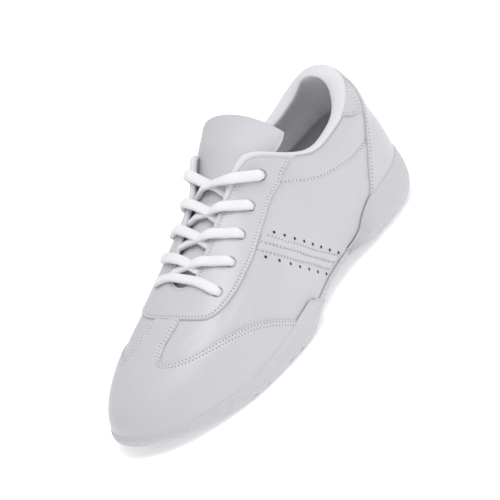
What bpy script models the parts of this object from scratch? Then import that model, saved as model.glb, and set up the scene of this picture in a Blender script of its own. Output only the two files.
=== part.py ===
"""Cheerleading shoe, left foot, built on one last.

Metres, +Z up. The toe points to -Y, the outer (lateral) side of the foot is +X, and the
heel and the forefoot stand on the plane Z = 0, with the origin in the middle of the flat
spot under the heel. Every piece of the upper and of the sole is worked out from the same
last: a closed feather line where the upper meets the sole, a closed line round the collar
and the throat, and a curved profile that joins the two.
"""

from collections import namedtuple
from math import pi

import bmesh
import bpy
import numpy as np
from mathutils import Vector

# Length and girth sizes of the last
SOLE_LENGTH = 0.256
BALL_WIDTH = 0.092
HEEL_WIDTH = 0.060
COLLAR_WIDTH = 0.060
THROAT_WIDTH = 0.027
UPPER_HEIGHT = 0.094
FOOTBED_RISE = 0.017

# Walls, layers and clearances
UPPER_WALL = 0.0018
OVERLAY_THICKNESS = 0.0010
PIECE_GAP = 0.0003
OVERLAY_GAP = 0.0005
LINING_GAP = 0.0008
COLLAR_PADDING = 0.0022
BAND_THICKNESS = 0.0006

# Sole
SOLE_EDGE_HEIGHT = 0.027
SOLE_FLARE = 0.006
TOE_SPRING = 0.0075
SOLE_LIP = 0.0016
MIDSOLE_THICKNESS = 0.0055
ARCH_STRIP_STAND_OUT = 0.0012
ARCH_MARGIN = 0.03
HEEL_END_BOW = 0.004
FOREFOOT_END_BOW = 0.006
END_STEP = 0.0003
EDGE_BREAK = 0.0006
GROOVE_WIDTH = 0.0030
GROOVE_DEPTH = 0.0016
HEEL_REST_SHARE = 0.1325
HEEL_GROOVES = (0.095, 0.170)
FOREFOOT_GROOVES = (0.625, 0.665, 0.745, 0.785)
INSOLE_THICKNESS = 0.0035

# Lacing
EYELET_PAIRS = 5
EYELET_DIAMETER = 0.0046
EYELET_SIDES = 10
CUTTER_DEPTH = 0.012
LACE_WIDTH = 0.0064
LACE_THICKNESS = 0.0034
LACE_GAP = 0.0008
LACE_STEPS = 8
BAR_STEPS = 12

# Tongue and collar
TONGUE_WIDTH = 0.054
TONGUE_PAD_THICKNESS = 0.0075
TONGUE_MESH_THICKNESS = 0.0026
LINING_THICKNESS = 0.0022
COLLAR_ROLL = 0.0034
COLLAR_PAD_UPS = (0.60, 0.84, 1.08)
RIM_UP = 0.98

STATIONS = 72
PROFILE_ROWS = 8
STATION_CROWDING = 0.45

# One row per station of the last, from the heel back to the toe tip. The along columns are
# shares of SOLE_LENGTH. The outer and inner columns are shares of the width that the table
# is named for. Rise is the height of the feather line as a share of FOOTBED_RISE.
Feather = namedtuple("Feather", "along_outer outer along_inner inner rise")
HEEL_FEATHER = (
    Feather(0.012, 0.000, 0.012, 0.000, 1.00),
    Feather(0.031, 0.267, 0.031, 0.267, 1.00),
    Feather(0.086, 0.440, 0.086, 0.437, 0.97),
    Feather(0.188, 0.495, 0.188, 0.483, 0.90),
)
FORE_FEATHER = (
    Feather(0.297, 0.318, 0.297, 0.288, 0.72),
    Feather(0.398, 0.338, 0.406, 0.266, 0.63),
    Feather(0.492, 0.410, 0.516, 0.304, 0.55),
    Feather(0.594, 0.478, 0.625, 0.408, 0.49),
    Feather(0.695, 0.474, 0.727, 0.462, 0.46),
    Feather(0.789, 0.428, 0.816, 0.457, 0.43),
    Feather(0.873, 0.325, 0.895, 0.415, 0.47),
    Feather(0.942, 0.165, 0.950, 0.298, 0.55),
    Feather(0.976, -0.087, 0.976, 0.087, 0.61),
)

# The edge of the collar and of the throat, with a row for each row above. Half is the
# distance from the middle as a share of the width, and height is a share of UPPER_HEIGHT.
Opening = namedtuple("Opening", "along half height")
COLLAR_EDGE = (
    Opening(0.036, 0.000, 0.893),
    Opening(0.052, 0.265, 0.850),
    Opening(0.108, 0.415, 0.768),
    Opening(0.195, 0.475, 0.727),
    Opening(0.281, 0.500, 0.755),
    Opening(0.359, 0.445, 0.905),
)
THROAT_EDGE = (
    Opening(0.414, 0.741, 0.995),
    Opening(0.477, 0.537, 0.900),
    Opening(0.555, 0.463, 0.793),
    Opening(0.625, 0.407, 0.697),
    Opening(0.668, 0.333, 0.640),
    Opening(0.682, 0.185, 0.620),
    Opening(0.686, 0.000, 0.614),
)

# The two handles of each profile, as shares of UPPER_HEIGHT: how far the sole end bulges out
# and rises, and how far the edge end reaches out and drops.
Profile = namedtuple("Profile", "bulge rise reach drop")
PROFILES = (
    Profile(0.045, 0.28, 0.022, 0.26),
    Profile(0.045, 0.28, 0.030, 0.26),
    Profile(0.045, 0.26, 0.035, 0.23),
    Profile(0.035, 0.22, 0.050, 0.19),
    Profile(0.015, 0.22, 0.060, 0.21),
    Profile(0.005, 0.26, 0.070, 0.27),
    Profile(0.010, 0.27, 0.090, 0.25),
    Profile(0.030, 0.26, 0.150, 0.17),
    Profile(0.035, 0.23, 0.210, 0.13),
    Profile(0.035, 0.21, 0.280, 0.13),
    Profile(0.035, 0.21, 0.340, 0.14),
    Profile(0.035, 0.21, 0.385, 0.15),
    Profile(0.035, 0.21, 0.405, 0.16),
)

# Side of each outsole pod. Along is a share of SOLE_LENGTH, edge a share of SOLE_EDGE_HEIGHT,
# flare and tuck are shares of SOLE_FLARE, and ground is a share of TOE_SPRING.
Side = namedtuple("Side", "along edge flare tuck ground")
HEEL_SIDE = (
    Side(0.012, 1.00, 0.60, 0.75, 0.75),
    Side(0.040, 1.00, 0.65, 0.95, 0.25),
    Side(0.070, 0.98, 0.65, 1.05, 0.00),
    Side(0.195, 0.90, 0.60, 1.30, 0.00),
    Side(0.235, 0.75, 0.55, 1.20, 0.10),
    Side(0.270, 0.52, 0.35, 0.90, 0.50),
    Side(0.320, 0.44, 0.15, 0.60, 0.95),
)
FORE_SIDE = (
    Side(0.500, 0.46, 1.00, -0.30, 0.95),
    Side(0.535, 0.58, 1.00, -0.20, 0.50),
    Side(0.580, 0.58, 0.90, 0.00, 0.06),
    Side(0.640, 0.52, 0.75, 0.15, 0.00),
    Side(0.770, 0.42, 0.60, 0.25, 0.00),
    Side(0.860, 0.42, 0.50, 0.30, 0.22),
    Side(0.940, 0.48, 0.45, 0.40, 0.60),
    Side(0.976, 0.54, 0.45, 0.45, 0.80),
)
# Wall of a pod from its outline up to its widest line. Height is a share of the wall's height,
# and flare and tuck are shares of the values above.
Wall = namedtuple("Wall", "height flare tuck")
POD_WALL = (
    Wall(0.00, 0.00, 1.00),
    Wall(0.10, 0.45, 0.35),
    Wall(0.42, 0.90, 0.00),
    Wall(0.66, 1.00, 0.00),
)

# Wall that closes a pod under the arch, level by level. Shift is a share of SOLE_LIP, and
# height is a share of the way from the ground to the midsole.
EndWall = namedtuple("EndWall", "shift height")
END_WALL = (
    EndWall(-1.90, 0.00), EndWall(-0.75, 0.12), EndWall(0.38, 0.50), EndWall(0.50, 0.80),
    EndWall(0.31, 1.00), EndWall(0.06, 1.00), EndWall(-0.12, 1.00), EndWall(-0.31, 1.00),
    EndWall(-0.50, 1.00),
)

# Depth of the midsole below the feather line, as a share of MIDSOLE_THICKNESS at shares of
# SOLE_LENGTH
MIDSOLE_DEPTH = ((0.0, 1.00), (0.20, 0.95), (0.32, 0.62), (0.50, 0.55), (0.62, 0.45), (1.0, 0.36))


def station_shares():
    """Shares of the loop at the stations, which crowd together round the heel and the toe."""
    even = np.arange(STATIONS) / STATIONS
    return even - STATION_CROWDING * np.sin(4 * pi * even) / (4 * pi)


def mirrored_loop(outer_rows, inner_rows):
    """Rows from heel to toe on the outer side, then back to the heel on the inner side."""
    outer = np.array(outer_rows, float)
    inner = np.array(inner_rows, float)
    return np.vstack([outer, inner[-2:0:-1]])


def feather_rows():
    """The feather line as points, outer side first."""
    outer = []
    inner = []
    for rows, width in ((HEEL_FEATHER, HEEL_WIDTH), (FORE_FEATHER, BALL_WIDTH)):
        for row in rows:
            height = row.rise * FOOTBED_RISE
            outer.append((row.outer * width, -row.along_outer * SOLE_LENGTH, height))
            inner.append((-row.inner * width, -row.along_inner * SOLE_LENGTH, height))
    return mirrored_loop(outer, inner)


def opening_rows():
    """The edge of the collar and the throat as points, in the order of the feather line."""
    outer = []
    for rows, width in ((COLLAR_EDGE, COLLAR_WIDTH), (THROAT_EDGE, THROAT_WIDTH)):
        for row in rows:
            outer.append((row.half * width, -row.along * SOLE_LENGTH, row.height * UPPER_HEIGHT))
    inner = [(-x, y, z) for x, y, z in outer]
    return mirrored_loop(outer, inner)


FEATHER = feather_rows()
OPENING = opening_rows()
HANDLES = mirrored_loop(PROFILES, PROFILES) * UPPER_HEIGHT
LOOP = np.vstack([FEATHER, FEATHER[:1]])
STEPS = np.linalg.norm(np.diff(LOOP[:, :2], axis=0), axis=1)
KNOTS = np.concatenate([[0.0], np.cumsum(STEPS)]) / STEPS.sum()


def closed_spline(rows, at):
    """Value and slope of the smooth closed curve through rows, at shares of its length."""
    count = len(rows)
    gaps = np.diff(KNOTS)
    system = np.zeros((count, count))
    target = np.zeros_like(rows)
    for i in range(count):
        after = (i + 1) % count
        system[i, i] += 2 * (gaps[i - 1] + gaps[i])
        system[i, i - 1] += gaps[i - 1]
        system[i, after] += gaps[i]
        rise = (rows[after] - rows[i]) / gaps[i]
        target[i] = 6 * (rise - (rows[i] - rows[i - 1]) / gaps[i - 1])
    bend = np.linalg.solve(system, target)
    at = np.mod(at, 1.0)
    i = np.clip(np.searchsorted(KNOTS, at, side="right") - 1, 0, count - 1)
    after = (i + 1) % count
    gap = gaps[i][:, None]
    t = (at - KNOTS[i])[:, None]
    cubic = (bend[after] - bend[i]) / (6 * gap)
    square = bend[i] / 2
    slope = (rows[after] - rows[i]) / gap - gap * (2 * bend[i] + bend[after]) / 6
    value = rows[i] + t * (slope + t * (square + t * cubic))
    return value, slope + t * (2 * square + 3 * cubic * t)


def smooth_steps(x, table_x, table_y):
    """Monotone cubic through a short table, so that level stretches stay level."""
    table_x = np.asarray(table_x, float)
    table_y = np.asarray(table_y, float)
    width = np.diff(table_x)
    rise = np.diff(table_y) / width
    slope = np.zeros(len(table_x))
    same = rise[1:] * rise[:-1] > 0
    pair = np.where(same, rise[1:] + rise[:-1], 1.0)
    slope[1:-1] = np.where(same, 2 * rise[1:] * rise[:-1] / pair, 0.0)
    x = np.clip(x, table_x[0], table_x[-1])
    i = np.clip(np.searchsorted(table_x, x, side="right") - 1, 0, len(width) - 1)
    t = (x - table_x[i]) / width[i]
    left = (1 + 2 * t) * (1 - t) ** 2 * table_y[i] + t * (1 - t) ** 2 * width[i] * slope[i]
    right = t * t * (3 - 2 * t) * table_y[i + 1] - t * t * (1 - t) * width[i] * slope[i + 1]
    return left + right


def plan(at):
    """Feather points and the level outward directions there."""
    point, along = closed_spline(FEATHER, at)
    length = np.linalg.norm(along[:, :2], axis=1)
    outward = np.stack([-along[:, 1] / length, along[:, 0] / length, 0 * length], 1)
    return point, outward


def bare_skin(at, up):
    """Outer face of the upper before padding. Up runs from the feather line to the edge."""
    at, up = np.broadcast_arrays(np.asarray(at, float), np.asarray(up, float))
    shape = at.shape
    at = at.ravel()
    t = up.ravel()[:, None]
    low, outward = plan(at)
    high = closed_spline(OPENING, at)[0]
    handle = closed_spline(HANDLES, at)[0]
    upward = np.array([0.0, 0.0, 1.0])
    low_handle = low + outward * handle[:, 0:1] + upward * handle[:, 1:2]
    high_handle = high + outward * handle[:, 2:3] - upward * handle[:, 3:4]
    q = 1 - t
    point = q**3 * low + 3 * q * q * t * low_handle + 3 * q * t * t * high_handle + t**3 * high
    return point.reshape(*shape, 3)


def bare_normal(at, up):
    """Unit normals of the bare skin, pointing out."""
    at, up = np.broadcast_arrays(np.asarray(at, float), np.asarray(up, float))
    small = 1e-4
    below = np.clip(up - small, 0, 1)
    above = np.clip(up + small, 0, 1)
    along = bare_skin(at + small, up) - bare_skin(at - small, up)
    rise = bare_skin(at, above) - bare_skin(at, below)
    normal = np.cross(rise, along)
    return normal / np.linalg.norm(normal, axis=-1, keepdims=True)


def hump(value, start, top, end):
    """Smooth bump that is 0 at start and end and 1 at top."""
    rising = np.clip((value - start) / (top - start), 0, 1)
    falling = np.clip((end - value) / (end - top), 0, 1)
    both = np.minimum(rising, falling)
    return both * both * (3 - 2 * both)


def padding(at, up):
    """How far the padded collar swells out of the bare skin."""
    folded = np.abs(np.mod(at + 0.5, 1.0) - 0.5)
    round_heel = 1 - np.clip((folded - 0.10) / 0.05, 0, 1)
    round_heel = round_heel * round_heel * (3 - 2 * round_heel)
    return COLLAR_PADDING * round_heel * hump(up, *COLLAR_PAD_UPS)


def skin(at, up, out=0.0):
    """Point of the upper's outer face, moved out along its normal."""
    move = padding(at, up) + out
    return bare_skin(at, up) + bare_normal(at, up) * np.asarray(move)[..., None]


def share_up(at, height):
    """Share of the profile at which the skin reaches a height near the sole."""
    rows = np.linspace(0, 0.6, 61)
    heights = skin(np.asarray(at)[:, None], rows[None, :])[..., 2]
    return np.array([np.interp(z, line, rows) for z, line in zip(height, heights)])


def share_at(row, inner=False):
    """Share of the loop at a row number of the tables, which may be a fraction."""
    numbers = np.arange(len(PROFILES))
    knots = KNOTS[::-1] if inner else KNOTS
    return np.interp(row, numbers, knots[: len(PROFILES)])


def both_sides(rows, *values):
    """Shares of the loop along the outer side and back on the inner side, with their values."""
    at = np.concatenate([share_at(rows), share_at(rows[:-1][::-1], inner=True)])
    return at, *[np.concatenate([value, value[:-1][::-1]]) for value in values]


def material(name, colour, roughness):
    made = bpy.data.materials.new(name)
    made.use_nodes = True
    principled = made.node_tree.nodes["Principled BSDF"]
    principled.inputs["Base Color"].default_value = (*colour, 1.0)
    principled.inputs["Roughness"].default_value = roughness
    return made


def add_mesh(name, points, faces, collection, finish):
    mesh = bpy.data.meshes.new(name)
    mesh.from_pydata([tuple(p) for p in points], [], faces)
    mesh.validate()
    mesh.shade_smooth()
    mesh.set_sharp_from_angle(angle=pi / 4)
    made = bpy.data.objects.new(name, mesh)
    mesh.materials.append(finish)
    collection.objects.link(made)
    return made


def face_out(made):
    """Turns the faces of a closed mesh to look out."""
    shape = bmesh.new()
    shape.from_mesh(made.data)
    bmesh.ops.recalc_face_normals(shape, faces=shape.faces)
    shape.to_mesh(made.data)
    shape.free()
    return made


def grid_faces(rows, columns, closed):
    """Quads of a grid that is stored row by row, wrapping round its rows when closed."""
    faces = []
    for i in range(rows if closed else rows - 1):
        for j in range(columns - 1):
            a = i * columns + j
            b = (i + 1) % rows * columns + j
            faces.append((a, a + 1, b + 1, b))
    return faces


def thicken(made, thickness, outward):
    """Gives an open surface its wall."""
    wall = made.modifiers.new("wall", "SOLIDIFY")
    wall.thickness = thickness
    wall.offset = 1.0 if outward else -1.0
    wall.use_even_offset = True
    return wall


def add_ladder(faces, points, base, count, columns, total, flip):
    """Caps a loop by rungs from its outer side to its inner side."""
    loop = np.vstack(points)[base : base + count]
    ladder = []
    for i in range(count // 2 + 1):
        if i in (0, count // 2):
            ladder.append([base + i])
            continue
        across = np.linspace(0, 1, columns + 1)[1:-1, None]
        middle = loop[i] * (1 - across) + loop[count - i] * across
        points.append(middle)
        ladder.append([base + i, *range(total, total + len(middle)), base + count - i])
        total += len(middle)
    for near, far in zip(ladder, ladder[1:]):
        near = near * len(far) if len(near) == 1 else near
        far = far * len(near) if len(far) == 1 else far
        for j in range(len(near) - 1):
            face = list(dict.fromkeys([near[j], near[j + 1], far[j + 1], far[j]]))
            faces.append(tuple(face[::-1] if flip else face))
    return total


def stacked_solid(name, loops, collection, finish, cap_columns=2):
    """Closed solid through level loops, bottom outline first, with both ends capped.

    Each loop runs from the heel end along the outer side to the toe end and back along the
    inner side.
    """
    points = [np.asarray(loop) for loop in loops]
    count = len(points[0])
    levels = len(points)
    faces = []
    for level in range(levels - 1):
        low = level * count
        high = low + count
        for i in range(count):
            after = (i + 1) % count
            faces.append((low + i, high + i, high + after, low + after))
    total = add_ladder(faces, points, 0, count, cap_columns, levels * count, flip=True)
    add_ladder(faces, points, (levels - 1) * count, count, cap_columns, total, flip=False)
    return face_out(add_mesh(name, np.vstack(points), faces, collection, finish))


def ringed_solid(name, rings, collection, finish):
    """Closed solid through rings of equal count, with a flat cap at each end."""
    rings = np.asarray(rings)
    rows, count = rings.shape[:2]
    faces = []
    for i in range(rows - 1):
        for j in range(count):
            after = (j + 1) % count
            a = i * count
            faces.append((a + j, a + after, a + count + after, a + count + j))
    faces.append(tuple(range(count))[::-1])
    faces.append(tuple(range((rows - 1) * count, rows * count)))
    return face_out(add_mesh(name, rings.reshape(-1, 3), faces, collection, finish))


def cut(made, cutter):
    hole = made.modifiers.new("cut " + cutter.name, "BOOLEAN")
    hole.operation = "DIFFERENCE"
    hole.object = cutter


# Panel outlines on the last. Row counts the rows of the tables above, and up is the share of
# the profile from the feather line to the edge.
Outline = namedtuple("Outline", "row up")
EYESTAY_OUTLINE = (
    Outline(4.90, 0.950), Outline(5.10, 0.870), Outline(5.50, 0.767), Outline(6.40, 0.667),
    Outline(7.10, 0.643), Outline(7.75, 0.616), Outline(8.40, 0.622), Outline(8.90, 0.642),
    Outline(9.50, 0.670), Outline(10.15, 0.717), Outline(10.80, 0.775), Outline(11.50, 0.822),
    Outline(12.00, 0.832),
)
TOE_SIDE_OUTLINE = (
    Outline(6.85, 0.088), Outline(7.25, 0.172), Outline(7.80, 0.272), Outline(8.20, 0.346),
    Outline(8.70, 0.421), Outline(9.50, 0.509), Outline(10.35, 0.572),
)
STEM_OUTER_OUTLINE = (
    Outline(11.15, 0.590), Outline(11.62, 0.598), Outline(11.82, 0.630), Outline(11.87, 0.700),
    Outline(11.90, 0.790),
)
STEM_INNER_OUTLINE = (
    Outline(10.80, 0.578), Outline(11.02, 0.590), Outline(11.16, 0.630), Outline(11.22, 0.700),
    Outline(11.26, 0.790),
)
COUNTER_OUTLINE = (
    Outline(3.10, 0.10), Outline(2.95, 0.25), Outline(2.61, 0.447), Outline(2.04, 0.648),
    Outline(1.70, 0.70),
)
HEEL_TAB_OUTLINE = (
    Outline(0.00, 0.725), Outline(1.00, 0.735), Outline(1.60, 0.775), Outline(2.05, 0.865),
    Outline(2.30, 0.950),
)
BAND_TOP = (Outline(7.00, 0.615), Outline(5.74, 0.358), Outline(4.72, 0.070))
BAND_BOTTOM = (Outline(7.40, 0.600), Outline(6.20, 0.327), Outline(5.06, 0.060))
BAND_SHARES = ((0.06, 0.46), (0.54, 0.94))
Eyelet = namedtuple("Eyelet", "row up_outer up_inner")
EYELETS = (
    Eyelet(5.93, 0.843, 0.843), Eyelet(6.90, 0.792, 0.792), Eyelet(7.65, 0.774, 0.780),
    Eyelet(8.40, 0.767, 0.810), Eyelet(9.33, 0.774, 0.850),
)
# Section of the collar lining: up its outer face, over the rim, and down its inner face. Ups
# are shares of the profile, lift and out are shares of COLLAR_ROLL above and out of the rim,
# and depth is a share of LINING_THICKNESS.
RollPoint = namedtuple("RollPoint", "lift out")
InnerPoint = namedtuple("InnerPoint", "up depth")
LINING_OUTER_UPS = (0.60, 0.74, 0.88, 0.985)
ROLL = (
    RollPoint(0.30, 0.12), RollPoint(0.72, -0.12), RollPoint(0.95, -0.65),
    RollPoint(0.80, -1.24), RollPoint(0.35, -1.59),
)
LINING_INNER = (
    InnerPoint(0.93, 1.55), InnerPoint(0.84, 1.47), InnerPoint(0.72, 1.10), InnerPoint(0.60, 1.00),
)

THROAT_HEM = 0.985
PANEL_GAP = 0.012
TOE_START_ROWS = 0.15
LINING_END_ROW = 4.8

# Where a lace starts and where it passes over the far edge, as shares of the way from the lower
# to the upper eyelet, the latter for the outer and the inner edge, how far its start lies in
# from the near edge and below it as shares of its width and its thickness, and its height over
# the tongue as shares of LACE_THICKNESS: the lower lace, the one over it, and the bar's crown
LACE_START_SHARE = -0.10
LACE_CROSS_SHARES = (0.15, 0.35)
LACE_START_DROP = 0.10
LOWER_LACE_LIFT = 0.50
UPPER_LACE_LIFT = 1.05
BAR_CROWN_LIFT = 0.20
LACE_START_INSET = 0.35

# Tongue, from its end inside the vamp to its top. Along is a share of SOLE_LENGTH, crown and
# drop are shares of UPPER_HEIGHT, half and shift are shares of TONGUE_WIDTH, tilt is a slope
# down to the outer side, and pad runs from 0, the thin mesh, to 1, the padded top.
TongueRow = namedtuple("TongueRow", "along crown half drop shift tilt pad")
TONGUE_ROWS = (
    TongueRow(0.742, 0.515, 0.300, 0.026, 0.000, 0.00, 0.0),
    TongueRow(0.688, 0.581, 0.315, 0.037, 0.000, 0.00, 0.0),
    TongueRow(0.625, 0.676, 0.335, 0.059, 0.000, 0.00, 0.0),
    TongueRow(0.555, 0.774, 0.350, 0.087, 0.000, 0.00, 0.0),
    TongueRow(0.477, 0.883, 0.370, 0.131, 0.000, 0.00, 0.1),
    TongueRow(0.414, 0.981, 0.370, 0.136, 0.000, 0.02, 0.6),
    TongueRow(0.367, 1.045, 0.372, 0.125, 0.000, 0.04, 1.0),
    TongueRow(0.331, 1.072, 0.425, 0.115, -0.025, 0.11, 1.0),
    TongueRow(0.308, 1.082, 0.480, 0.090, -0.045, 0.16, 0.8),
    TongueRow(0.294, 1.084, 0.440, 0.075, -0.050, 0.16, 0.3),
)


def outline_over(rows, outline):
    """Up values of an outline at row numbers."""
    return smooth_steps(rows, [p.row for p in outline], [p.up for p in outline])


def patch(name, at, up, collection, finish, thickness=OVERLAY_THICKNESS):
    """Overlay on the grid of shares at and up, just clear of the skin."""
    points = skin(at, up, OVERLAY_GAP)
    rows, columns = at.shape
    faces = grid_faces(rows, columns, closed=False)
    made = add_mesh(name, points.reshape(-1, 3), faces, collection, finish)
    thicken(made, thickness, outward=True)
    return made


def strip_patch(name, at, low, high, rows, collection, finish):
    """Overlay between two curves that are given over the same stations."""
    t = np.linspace(0, 1, rows + 1)[None, :]
    at = np.asarray(at)[:, None] + 0 * t
    up = np.asarray(low)[:, None] * (1 - t) + np.asarray(high)[:, None] * t
    return patch(name, at, up, collection, finish)


# Upper and its overlays
def build_upper(collection, finish):
    at = station_shares()
    up = np.linspace(0, 1, PROFILE_ROWS + 1)
    points = skin(at[:, None], up[None, :])
    faces = grid_faces(STATIONS, PROFILE_ROWS + 1, closed=True)
    made = add_mesh("upper", points.reshape(-1, 3), faces, collection, finish)
    thicken(made, UPPER_WALL, outward=False)
    return made


def build_eyestay(collection, finish):
    rows = np.linspace(EYESTAY_OUTLINE[0].row, len(PROFILES) - 1, 22)
    low = outline_over(rows, EYESTAY_OUTLINE)
    at, low = both_sides(rows, low)
    high = np.full(len(at), THROAT_HEM)
    return strip_patch("eyestay", at, low, high, 3, collection, finish)


def toe_side(stem, inner, top_steps):
    """Shares of the loop up one side of the toe overlay to its middle, with its edge there."""
    outline = (*TOE_SIDE_OUTLINE, *stem)
    corner = stem[-4].row
    side = np.linspace(outline[0].row + TOE_START_ROWS, corner, 13)
    edge = np.linspace(corner, stem[-1].row, 4)[1:]
    top = np.linspace(stem[-1].row, len(PROFILES) - 1, top_steps + 1)[1:]
    rows = np.concatenate([side, edge, top])
    eyestay = outline_over(rows, EYESTAY_OUTLINE) - PANEL_GAP
    high = np.where(rows >= stem[-1].row, eyestay, outline_over(rows, outline))
    return share_at(rows, inner), high


def build_toe_overlay(collection, finish):
    """Toe cap with the stem that runs up to the eyestay, more of it on the inner side."""
    outer_at, outer_high = toe_side(STEM_OUTER_OUTLINE, False, 2)
    inner_at, inner_high = toe_side(STEM_INNER_OUTLINE, True, 4)
    at = np.concatenate([outer_at, inner_at[-2::-1]])
    high = np.concatenate([outer_high, inner_high[-2::-1]])
    low = sole_edge_share(at) + 1.5 * PANEL_GAP
    high = np.maximum(high, low + 2 * PANEL_GAP)
    return strip_patch("toe_overlay", at, low, high, 5, collection, finish)


def build_counter(collection, finish):
    """Heel counter, from the sole up to the heel tab."""
    top = COUNTER_OUTLINE[-1].up
    heights = np.linspace(0, 1, 5)
    t = np.linspace(-1, 1, 23)
    at = np.empty((len(t), len(heights)))
    up = np.empty_like(at)
    bottom = sole_edge_share(share_at(np.array([COUNTER_OUTLINE[0].row])))[0]
    for j, height in enumerate(heights):
        level = bottom + PANEL_GAP + height * (top - bottom - PANEL_GAP)
        row = smooth_steps(level, [p.up for p in COUNTER_OUTLINE], [p.row for p in COUNTER_OUTLINE])
        outer = share_at(np.clip(t, 0, 1) * row)
        inner = share_at(np.clip(-t, 0, 1) * row, inner=True) - 1
        at[:, j] = np.where(t >= 0, outer, inner)
        floor = sole_edge_share(at[:, j]) + PANEL_GAP
        up[:, j] = floor + height * (top - floor)
    return patch("heel_counter", at, up, collection, finish)


def build_heel_tab(collection, finish):
    """Tab over the top of the heel, above the counter."""
    last = HEEL_TAB_OUTLINE[-1].row
    rows = np.linspace(-last, last, 15)
    at = np.where(rows >= 0, share_at(np.abs(rows)), share_at(np.abs(rows), inner=True) - 1)
    low = outline_over(np.abs(rows), HEEL_TAB_OUTLINE)
    high = np.full(len(at), THROAT_HEM)
    return strip_patch("heel_tab", at, low, high, 3, collection, finish)


def build_bands(collection, finish):
    """Two raised bands on each side of the quarter."""
    t = np.linspace(0, 1, 10)
    knots = (0.0, 0.55, 1.0)
    for side, inner in (("outer", False), ("inner", True)):
        for number, shares in enumerate(BAND_SHARES, 1):
            across = np.array(shares)[None, :]
            line = []
            for outline in (BAND_TOP, BAND_BOTTOM):
                row = smooth_steps(t, knots, [p.row for p in outline])[:, None]
                up = smooth_steps(t, knots, [p.up for p in outline])[:, None]
                line.append((row, up))
            (top_row, top_up), (low_row, low_up) = line
            row = top_row * (1 - across) + low_row * across
            up = top_up * (1 - across) + low_up * across
            at = share_at(row, inner)
            if inner:
                at = at[::-1]
                up = up[::-1]
            name = f"quarter_band_{side}_{number}"
            made = patch(name, at, up, collection, finish, BAND_THICKNESS)
            if looks_in(at, up):
                made.data.flip_normals()


def looks_in(at, up):
    """Whether the grid runs clockwise over the skin, so that its faces look in."""
    along = np.diff(at, axis=0)[:, :1]
    across = np.diff(up, axis=1)[:1, :]
    return along.mean() * across.mean() < 0


# Sole
def side_values(table, along, column):
    return smooth_steps(along, [s.along for s in table], [getattr(s, column) for s in table])


def midsole_bottom(point):
    """Height of the midsole's underside at feather points."""
    along = -point[:, 1] / SOLE_LENGTH
    shares, depths = zip(*MIDSOLE_DEPTH)
    return point[:, 2] - smooth_steps(along, shares, depths) * MIDSOLE_THICKNESS


def sole_edge_share(at):
    """Share of the profile at the top edge of the sole, all round."""
    point = plan(at)[0]
    along = -point[:, 1] / SOLE_LENGTH
    heel = np.where(along > HEEL_SIDE[-1].along, 0, side_values(HEEL_SIDE, along, "edge"))
    fore = np.where(along < FORE_SIDE[0].along, 0, side_values(FORE_SIDE, along, "edge"))
    edge = np.maximum(heel, fore) * SOLE_EDGE_HEIGHT
    return share_up(at, np.maximum(edge, point[:, 2] + PIECE_GAP))


def pod_levels(at, table):
    """Level loops of an outsole pod at its stations, from its bottom outline to its floor."""
    point, outward = plan(at)
    along = -point[:, 1] / SOLE_LENGTH
    ground = side_values(table, along, "ground") * TOE_SPRING
    edge = side_values(table, along, "edge") * SOLE_EDGE_HEIGHT
    flare = (side_values(table, along, "flare") * SOLE_FLARE)[:, None]
    tuck = (side_values(table, along, "tuck") * SOLE_FLARE)[:, None]
    floor = midsole_bottom(point) - PIECE_GAP
    edge = np.maximum(edge, point[:, 2] + PIECE_GAP)
    share = share_up(at, edge)

    def at_height(offset, height):
        moved = point + outward * offset
        moved[:, 2] = height
        return moved

    inner_top = skin(at, share, PIECE_GAP)
    outer_top = skin(at, share, PIECE_GAP + SOLE_LIP)
    outer_top[:, 2] = inner_top[:, 2] - SOLE_LIP / 3
    body = edge - ground
    wall = [at_height(flare * w.flare - tuck * w.tuck, ground + body * w.height) for w in POD_WALL]
    return [
        *wall,
        outer_top,
        inner_top,
        skin(at, share / 2, PIECE_GAP),
        at_height(PIECE_GAP, point[:, 2]),
        at_height(PIECE_GAP, floor),
    ]


def crossing(levels, i, j, forward, bow, bands=5):
    """Points that lead each level across the foot, from station i to station j."""
    t = np.linspace(0, 1, bands + 2)[1:-1, None]
    start = levels[-1][i]
    end = levels[-1][j]
    base = start * (1 - t) + end * t
    base[:, 1] += forward * bow * np.sin(pi * t[:, 0])
    bottom = levels[0][i][2]
    top = min(start[2], end[2])
    base[:, 2] = top
    made = []
    for wall in END_WALL:
        moved = base.copy()
        moved[:, 1] += forward * wall.shift * SOLE_LIP
        moved[:, 2] = bottom + (top - bottom) * wall.height
        made.append(moved)
    return made


def flatten_end(levels, index):
    """Brings the walls of an end station down below the midsole."""
    floor = levels[-1][index][2]
    outward = levels[len(POD_WALL) - 1][index] - levels[-1][index]
    outward[2] = 0
    outward /= np.linalg.norm(outward)
    base = levels[-1][index]
    rim = len(POD_WALL)
    last = len(levels) - 1
    for level in range(rim, last):
        levels[level][index] = base + outward * END_STEP * (last - level)
        levels[level][index][2] = floor
    for level in range(1, rim):
        levels[level][index][2] = min(levels[level][index][2], floor - END_STEP * (rim - level))


def build_heel_outsole(collection, finish):
    last = HEEL_SIDE[-1].along * SOLE_LENGTH
    at = station_shares()
    along = -plan(at)[0][:, 1]
    half = int(np.argmax(along > last))
    inner_half = int(np.argmax(along[::-1] > last))
    count = min(half, inner_half)
    outer = at[: count + 1]
    inner = 1 - outer[:0:-1]
    levels = pod_levels(np.concatenate([outer, inner]), HEEL_SIDE)
    flatten_end(levels, count)
    flatten_end(levels, count + 1)
    across = crossing(levels, count, count + 1, -1, HEEL_END_BOW)
    loops = [
        np.vstack([level[: count + 1], bridge, level[count + 1 :]])
        for level, bridge in zip(levels, across)
    ]
    return stacked_solid("heel_outsole", loops, collection, finish)


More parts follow.
